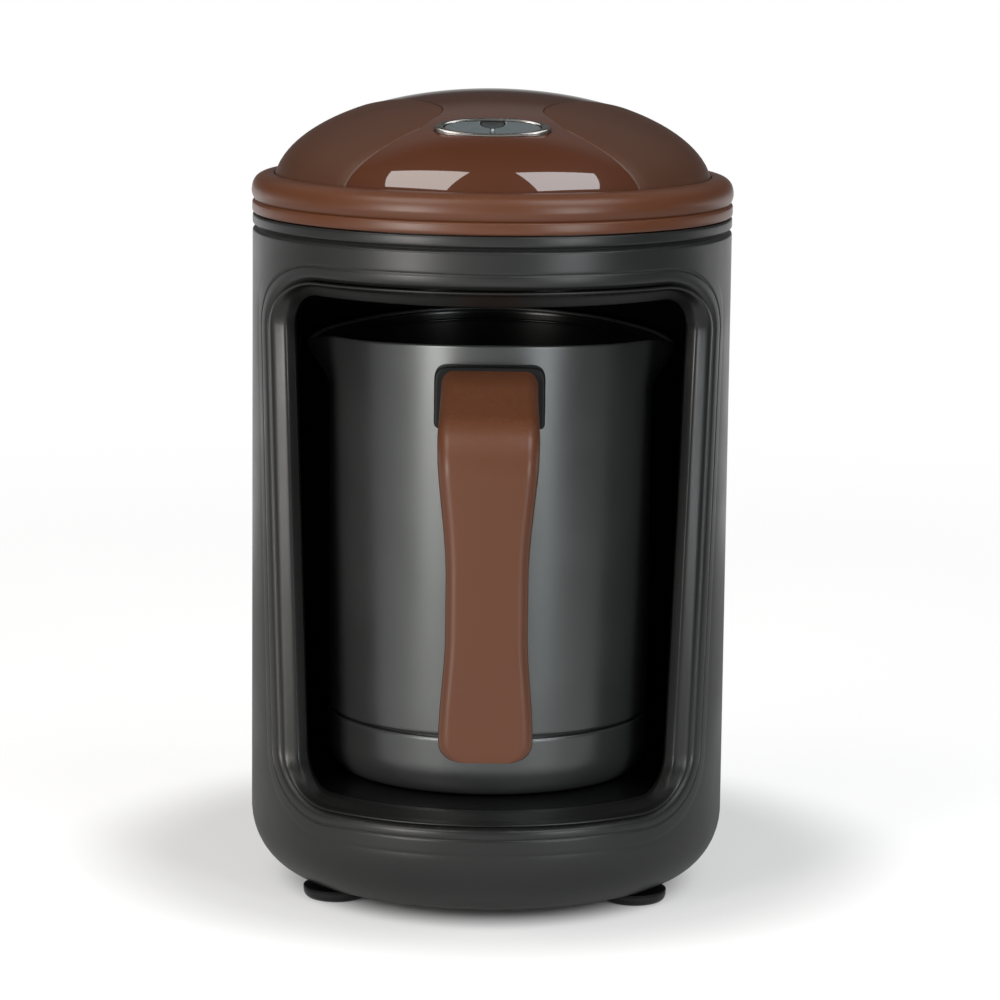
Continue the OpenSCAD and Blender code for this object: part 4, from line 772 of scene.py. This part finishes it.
def feed(tree, fed, inputs):
    """Gives a node its inputs: a socket is linked, and any other value is set."""
    for key, value in inputs.items():
        if isinstance(value, bpy.types.NodeSocket):
            tree.links.new(value, fed.inputs[key])
        else:
            fed.inputs[key].default_value = value


def node(tree, kind, inputs, **settings):
    """Adds a shader node and returns its outputs."""
    new = tree.nodes.new("ShaderNode" + kind)
    for key, value in settings.items():
        setattr(new, key, value)
    feed(tree, new, inputs)
    return new.outputs


def maths(tree, operation, a, b, clamp=False):
    """The result of a sum on two values."""
    return node(tree, "Math", {0: a, 1: b}, operation=operation, use_clamp=clamp)[0]


def ramp(tree, value, low, high, least=0.0, most=1.0, kind="LINEAR"):
    """The value carried from low and high to least and most, and held there outside them."""
    return node(tree, "MapRange", {"Value": value, "From Min": low, "From Max": high, "To Min": least, "To Max": most},
        interpolation_type=kind)[0]


def noise(tree, scale, detail, rough=0.5):
    """Noise in the object's own coordinates."""
    return node(tree, "TexNoise", {"Vector": node(tree, "TexCoord", {})["Object"], "Scale": scale, "Detail": detail,
        "Roughness": rough})["Fac"]


def tinted(tree, mask, a, b):
    """Colour a where the mask is 0, and colour b where it is 1."""
    return node(tree, "Mix", {0: mask, 6: a, 7: b}, data_type="RGBA")[2]


def shared_group(name, inputs, outputs):
    """An empty shader node group with number inputs, each with its value, and number outputs."""
    tree = bpy.data.node_groups.new(name, "ShaderNodeTree")
    for label, value in inputs.items():
        tree.interface.new_socket(label, in_out="INPUT", socket_type="NodeSocketFloat").default_value = value
    for label in outputs:
        tree.interface.new_socket(label, in_out="OUTPUT", socket_type="NodeSocketFloat")
    return tree, tree.nodes.new("NodeGroupInput").outputs, tree.nodes.new("NodeGroupOutput")


def make_grain():
    """Moulded or sprayed grain: a fine speckle with a broad unevenness under it."""
    tree, given, out = shared_group("surface_grain", {"Size": 0.0004, "Unevenness": 0.03}, ["Height", "Mottle"])
    feed(tree, out, {"Height": noise(tree, maths(tree, "DIVIDE", 1.0, given["Size"]), 2.0, 0.6),
        "Mottle": noise(tree, given["Unevenness"], 3.0, 0.55)})
    return tree


def sharpness(tree):
    """How far an outer edge sticks out."""
    return node(tree, "NewGeometry", {})["Pointiness"]


def upward(tree):
    """How far a face looks up."""
    return node(tree, "SeparateXYZ", {0: node(tree, "NewGeometry", {})["Normal"]})["Z"]


def make_mask(name, amount, measure, low, high, patches):
    """A mask: what a measure of the surface says, times noise patches (scale, detail, low, high), times Amount."""
    scale, detail, patch_low, patch_high = patches
    tree, given, out = shared_group(name, {"Amount": amount}, ["Mask"])
    both = maths(tree, "MULTIPLY", ramp(tree, measure(tree), low, high),
        ramp(tree, noise(tree, scale, detail), patch_low, patch_high))
    feed(tree, out, {"Mask": maths(tree, "MULTIPLY", both, given["Amount"], clamp=True)})
    return tree


GRAIN = make_grain()
WEAR = make_mask("edge_wear", 0.5, sharpness, 0.52, 0.62, (180.0, 4.0, 0.35, 0.7))
DUST = make_mask("settled_dust", 0.1, upward, 0.4, 1.0, (900.0, 3.0, 0.5, 0.75))
DUST_TINT, GLOW_TINT = (0.5, 0.48, 0.45, 1), (0.85, 0.93, 1.0, 1)


def finish(name, colour, rough, metal=0.0, grain=0.0004, bump=0.0, mottle=0.06, spread=0.05, uneven=30.0, wear=0.0,
           worn=None, dust=0.0, coat=0.0, coat_rough=0.05, coat_ior=1.5, specular=0.5, glow=0.0):
    """A material: colour mottled and worn along its edges, roughness that varies with the mottle, and a fine bump."""
    material = bpy.data.materials.new(name)
    material.use_nodes = True
    tree = material.node_tree
    surface = node(tree, "Group", {"Size": grain, "Unevenness": uneven}, node_tree=GRAIN)
    dark = tuple(c * (1 - mottle) for c in colour) + (1.0,)
    light = tuple(min(1, c * (1 + mottle)) for c in colour) + (1.0,)
    tint = tinted(tree, surface["Mottle"], dark, light)
    roughness = ramp(tree, surface["Mottle"], 0.3, 0.7, rough - spread, rough + spread)
    if wear:
        tint = tinted(tree, node(tree, "Group", {"Amount": wear}, node_tree=WEAR)["Mask"], tint, worn)
    if dust:
        settled = node(tree, "Group", {"Amount": dust}, node_tree=DUST)["Mask"]
        tint = tinted(tree, settled, tint, DUST_TINT)
        roughness = maths(tree, "ADD", roughness, settled, clamp=True)
    inputs = {"Base Color": tint, "Roughness": roughness, "Metallic": metal, "Specular IOR Level": specular,
        "Coat Weight": coat, "Coat Roughness": coat_rough, "Coat IOR": coat_ior}
    if bump:
        inputs["Normal"] = node(tree, "Bump", {"Strength": 1.0, "Distance": bump, "Height": surface["Height"]})[0]
    if glow:
        inputs.update({"Emission Color": GLOW_TINT, "Emission Strength": glow})
    feed(tree, tree.nodes["Principled BSDF"], inputs)
    return material


# One finish for each slot, and five more for pieces that look unlike the rest of their slot
LOOK = {
    "drum_black": finish("satin_graphite", (0.0175, 0.0183, 0.018), 0.36, grain=0.00035, bump=0.000012, wear=0.25,
        worn=(0.06, 0.062, 0.064, 1), dust=0.04),
    "bracket": finish("soft_black", (0.004, 0.004, 0.0045), 0.5, specular=0.3, grain=0.00035, bump=0.000012, dust=0.03),
    # The black skin inside the pot: painted shade, black where the pot's inside lies in shade
    "inside_shade": finish("black_painted_shade", (0.005, 0.005, 0.0055), 0.22, mottle=0.1, spread=0.03),
    "frame": finish("satin_black", (0.0095, 0.0098, 0.0095), 0.33, grain=0.00035, bump=0.000012),
    "smoke": finish("smoke_grey", (0.035, 0.04, 0.042), 0.35, coat=0.5),
    # The lobes' finish: the brown slot's satin brown made darker as painted shade, because the lobes face up into the
    # lamps; it is also rougher
    "lobe": finish("satin_brown_painted_shade", (0.088, 0.035, 0.0185), 0.42, grain=0.0003, bump=0.00001),
    "gloss_black": finish("piano_black", (0.004, 0.004, 0.0045), 0.14, mottle=0.1, spread=0.03, specular=0.35),
    "brown": finish("satin_brown", (0.125, 0.043, 0.019), 0.35, grain=0.0003, bump=0.00001, wear=0.3,
        worn=(0.2, 0.09, 0.06, 1), dust=0.04),
    "gloss_brown": finish("gloss_chestnut", (0.085, 0.022, 0.006), 0.5, mottle=0.1, spread=0.03, coat=1.0,
        coat_rough=0.03, coat_ior=1.9, specular=0.15),
    "anthracite": finish("satin_anthracite_metal", (0.118, 0.124, 0.123), 0.34, metal=0.75, grain=0.00025,
        bump=0.000008, mottle=0.08, wear=0.3, worn=(0.35, 0.36, 0.38, 1), dust=0.04),
    "chrome": finish("satin_nickel", (0.38, 0.36, 0.34), 0.26, metal=1.0, mottle=0.03, spread=0.03, uneven=120.0),
    "pad": finish("pearl_grey_pad", (0.16, 0.19, 0.2), 0.25, metal=0.35, grain=0.00015, bump=0.000006, coat=0.6,
        coat_rough=0.1),
    "rubber": finish("black_rubber", (0.009, 0.009, 0.01), 0.32, grain=0.0006, bump=0.00001),
    "steel": finish("zinc_steel", (0.5, 0.5, 0.52), 0.32, metal=1.0, mottle=0.08, uneven=260.0, wear=0.4,
        worn=(0.7, 0.7, 0.72, 1)),
    "plate_aluminium": finish("cast_aluminium", (0.58, 0.59, 0.6), 0.45, metal=1.0, grain=0.0007, bump=0.00004,
        mottle=0.12),
    "contact_brass": finish("contact_brass", (0.68, 0.45, 0.2), 0.28, metal=1.0, mottle=0.12, uneven=220.0),
    "board": finish("board_green", (0.02, 0.12, 0.06), 0.35, mottle=0.25, uneven=400.0, coat=0.4),
    "light": finish("lamp_lens", (0.35, 0.38, 0.4), 0.15, mottle=0.02, coat=1.0, glow=0.08),
    "lens": finish("deep_red_lens", (0.06, 0.004, 0.006), 0.08, mottle=0.1, coat=1.0),
    "relay_blue": finish("relay_blue", (0.03, 0.09, 0.3), 0.3, mottle=0.06),
    "coil_yellow": finish("coil_tape", (0.5, 0.34, 0.06), 0.4, mottle=0.1, uneven=160.0),
    "terminal_green": finish("terminal_green", (0.03, 0.2, 0.07), 0.35),
    "ceramic": finish("ceramic_cream", (0.62, 0.58, 0.5), 0.5, mottle=0.08, grain=0.0005, bump=0.00003),
    "wire": finish("red_insulation", (0.42, 0.04, 0.03), 0.4),
    "wire_grey": finish("grey_insulation", (0.45, 0.45, 0.43), 0.42),
}

for name, obj in frame["nodes"].items():
    obj.data.materials.clear()
    obj.data.materials.append(LOOK[SLOT_OF[name]])

# ---- pieces

gland_hole = through_back(np.array([(0, 0), (5.15, 0), (5.15, 12), (0, 12)]), 64, INNER_R - 6)
piece("drum_wall", drum_parts(), "body_shell", crease=38, cut=[gland_hole])
piece("window_frame", window_frame_parts(), "front_bezel", "frame")
piece("collar", collar_parts(), "collar_ring")
pockets = [lobe_parts(side, gap=0, drop=POCKET_THICK, over=POCKET_OVER) for side in (1, -1)]
piece("dome", dome_parts(), "dome_cover", crease=30, cut=[well_parts()] + pockets)
# the lobes take the darker brown, painted shade
piece("dome_lobe_right", lobe_parts(1), "lobe_right", "lobe", crease=50)
piece("dome_lobe_left", lobe_parts(-1), "lobe_left", "lobe", crease=50)
piece("control_ring", oval_parts(), "chrome_oval", crease=50)
piece("push_pad_right", pad_parts(1), "button_right", crease=35)
piece("push_pad_left", pad_parts(-1), "button_left", crease=35)
piece("control_post", hub_parts(), "control_hub", "smoke", crease=35)
piece("light_lens", lens_parts(), "status_light")
piece("cup", cup_parts(), "pot_body")
# a black skin inside the pot, painted shade
piece("cup_inside_shade_skin", inside_shade_skin_parts(), "pot_body", "inside_shade")
piece("cup_skirt", skirt_parts(), "pot_skirt", crease=35, cut=[plug_slot_parts()])
piece("grip_front", handle_half(-1, FRONT_SEAM, 0.73, 1), "handle_shell")
piece("grip_back", handle_half(1, BACK_SEAM, 0.27, 0), "handle_cover")
piece("grip_bracket", bracket_parts(), "handle_bracket", "bracket", crease=35)
piece("table_feet", feet_parts(), "rubber_feet")
piece("cord_inlet", gland_parts(), "cable_gland")

# ---- floor and world

FLOOR_HALF, FLOOR_DROP, FLOOR_GREY = 9.0, 0.0003, 0.5
# Painted shadow on the floor: how bright its own light is close to the object and a little further out, and how far
# behind the axis that painted shadow is centred
PAINTED_SHADE_NEAR, PAINTED_SHADE_FAR, PAINTED_SHADE_BEHIND = 0.45, 0.76, 0.025
WHITE, BLACK = (1, 1, 1, 1), (0, 0, 0, 1)


def paper_floor():
    """A pale floor that keeps the object's shadow and adds painted shadow: close to the object its own light is dimmed,
    and right round the base it falls away to a painted contact shadow; further out it turns plain white. Its own light
    shows only to the camera, through clear pieces and, dimmer, in gloss."""
    mesh = bpy.data.meshes.new("floor")
    corners = [(x * FLOOR_HALF, y * FLOOR_HALF, -FLOOR_DROP) for x, y in ((-1, -1), (1, -1), (1, 1), (-1, 1))]
    mesh.from_pydata(corners, [], [(0, 1, 2, 3)])
    floor = add_object("floor", mesh)
    material = bpy.data.materials.new("pale_floor")
    material.use_nodes = True
    tree = material.node_tree
    ray = node(tree, "LightPath", {})
    place = node(tree, "TexCoord", {})["Object"]
    side = node(tree, "SeparateXYZ", {0: place})
    gloss = maths(tree, "ADD", ramp(tree, side["Y"], -0.35, -0.2, 0.4, 0.0), 0.18)
    gloss = maths(tree, "MULTIPLY", gloss, ramp(tree, side["X"], 0.15, 0.4, 1.0, 0.0))
    gloss = maths(tree, "MAXIMUM", maths(tree, "ADD", gloss, 0.12), ramp(tree, side["Y"], 0.4, 0.56))
    gloss = maths(tree, "MULTIPLY", gloss, ray["Is Glossy Ray"])
    seen = maths(tree, "MAXIMUM", maths(tree, "MAXIMUM", ray["Is Camera Ray"], gloss), ray["Is Transmission Ray"])
    place = node(tree, "VectorMath", {0: place, 1: (1, 1, 0), 2: (0, -AXIS_Y - PAINTED_SHADE_BEHIND, 0)},
        operation="MULTIPLY_ADD")[0]
    far = node(tree, "VectorMath", {0: place}, operation="LENGTH")["Value"]
    fade = ramp(tree, far, 0.3, 0.9, kind="SMOOTHSTEP")
    # painted shadow: the floor's own light is dimmed close to the object
    near = ramp(tree, far, 0.09, 0.14, PAINTED_SHADE_NEAR, PAINTED_SHADE_FAR, "SMOOTHSTEP")
    under = node(tree, "VectorMath", {0: place, 1: (0, PAINTED_SHADE_BEHIND, 0)}, operation="ADD")[0]
    under = node(tree, "VectorMath", {0: under}, operation="LENGTH")["Value"]
    # painted contact shadow: right round the base the floor's own light falls away to nothing
    near = maths(tree, "MULTIPLY", near, ramp(tree, under, 0.044, 0.064, kind="SMOOTHSTEP"))
    strength = node(tree, "Mix", {0: fade, 2: near, 3: 1.0})[0]
    feed(tree, tree.nodes["Principled BSDF"], {"Roughness": 0.7, "Specular IOR Level": 0.0, "Emission Color": WHITE,
        "Emission Strength": maths(tree, "MULTIPLY", strength, seen),
        "Base Color": tinted(tree, fade, (FLOOR_GREY, FLOOR_GREY, FLOOR_GREY, 1), BLACK)})
    mesh.materials.append(material)


def studio_world():
    """White where the camera or clear pieces see it; for gloss, bright behind the object and dim in front; soft light
    for the rest."""
    world = bpy.data.worlds.new("studio")
    scene.world = world
    world.use_nodes = True
    tree = world.node_tree
    tree.nodes.clear()
    way = node(tree, "SeparateXYZ", {0: node(tree, "TexCoord", {})["Generated"]})
    def rising(axis, low, high, least=0.0, most=1.0):
        return ramp(tree, way[axis], low, high, least, most, "SMOOTHSTEP")
    def times(one, other):
        return maths(tree, "MULTIPLY", one, other)
    def shine(strength):
        return node(tree, "Background", {"Color": WHITE, "Strength": strength})[0]
    high_back = times(times(rising("Y", 0.1, 0.5), rising("Z", 0.35, 0.6)), rising("Z", 0.8, 0.95, 1, 0))
    low_back = times(rising("Y", 0.8, 1.0), rising("Z", 0.0, 0.2, 1, 0))
    horizon = maths(tree, "ADD", maths(tree, "ADD", times(high_back, 0.16), times(low_back, 0.4)), 0.06)
    ray = node(tree, "LightPath", {})
    clear = maths(tree, "MAXIMUM", ray["Is Camera Ray"], ray["Is Transmission Ray"])
    shown = node(tree, "MixShader", {0: ray["Is Glossy Ray"], 1: shine(rising("Y", -1.0, -0.3, 0.66, 0.1)),
        2: shine(horizon)})[0]
    node(tree, "OutputWorld", {"Surface": node(tree, "MixShader", {0: clear, 1: shown, 2: shine(1.0)})[0]})


paper_floor()
studio_world()

# ---- lamps and camera

WARM, COOL = (1.0, 0.97, 0.93), (0.96, 0.98, 1.0)
UP = Vector((0, 0, 1))


def placed(obj, x, y, z, place):
    """Sets an object's own axes and its place."""
    obj.matrix_world = Matrix((
        (x.x, y.x, z.x, place[0]), (x.y, y.y, z.y, place[1]), (x.z, y.z, z.z, place[2]), (0, 0, 0, 1)))


def softbox(name, place, across, up, size, power, tint):
    """A rectangular lamp at place, in metres from the axis; across and up are the directions of its sides, and it
    shines along up x across."""
    lamp = bpy.data.lights.new(name, "AREA")
    lamp.shape, lamp.energy, lamp.color = "RECTANGLE", power, tint
    lamp.size, lamp.size_y = size
    x = Vector(across).normalized()
    z = x.cross(Vector(up)).normalized()
    placed(add_object(name, lamp), x, z.cross(x), z, (place[0], place[1] + AXIS_Y, place[2]))


for name, side, tint in (("softbox_left", -1, WARM), ("softbox_right", 1, COOL)):
    softbox(name, (side * 0.465, -0.377, 0.835), (0.934, side * 0.308, side * 0.18), (side * -0.201, 0.683, 0.703),
        (0.56, 0.49), 3.1, tint)
softbox("low_left", (-0.66, -0.843, 0.24), (0.788, -0.616, 0), UP, (0.32, 0.42), 5.0, WARM)
softbox("low_right", (0.642, -0.855, 0.24), (0.8, 0.6, 0), UP, (0.2, 0.42), 2.8, COOL)

EYE = Vector((0.005376, AXIS_Y - 1.18109, 0.3106))
PITCH, LEAN = 0.165492, 0.011
camera_data = bpy.data.cameras.new("studio_camera")
camera_data.sensor_width, camera_data.lens = 36.0, 145.73
camera_data.shift_x = 0.01066
camera_data.clip_start, camera_data.clip_end = 0.05, 50
heading = math.atan2(EYE.x, -(EYE.y - AXIS_Y))
forward = Vector((-math.sin(heading) * math.cos(PITCH), math.cos(heading) * math.cos(PITCH), -math.sin(PITCH)))
right = forward.cross(UP).normalized()
above = right.cross(forward)
camera = add_object("studio_camera", camera_data)
placed(camera, right * math.cos(LEAN) + above * math.sin(LEAN), above * math.cos(LEAN) - right * math.sin(LEAN),
    -forward, EYE)
scene.camera = camera
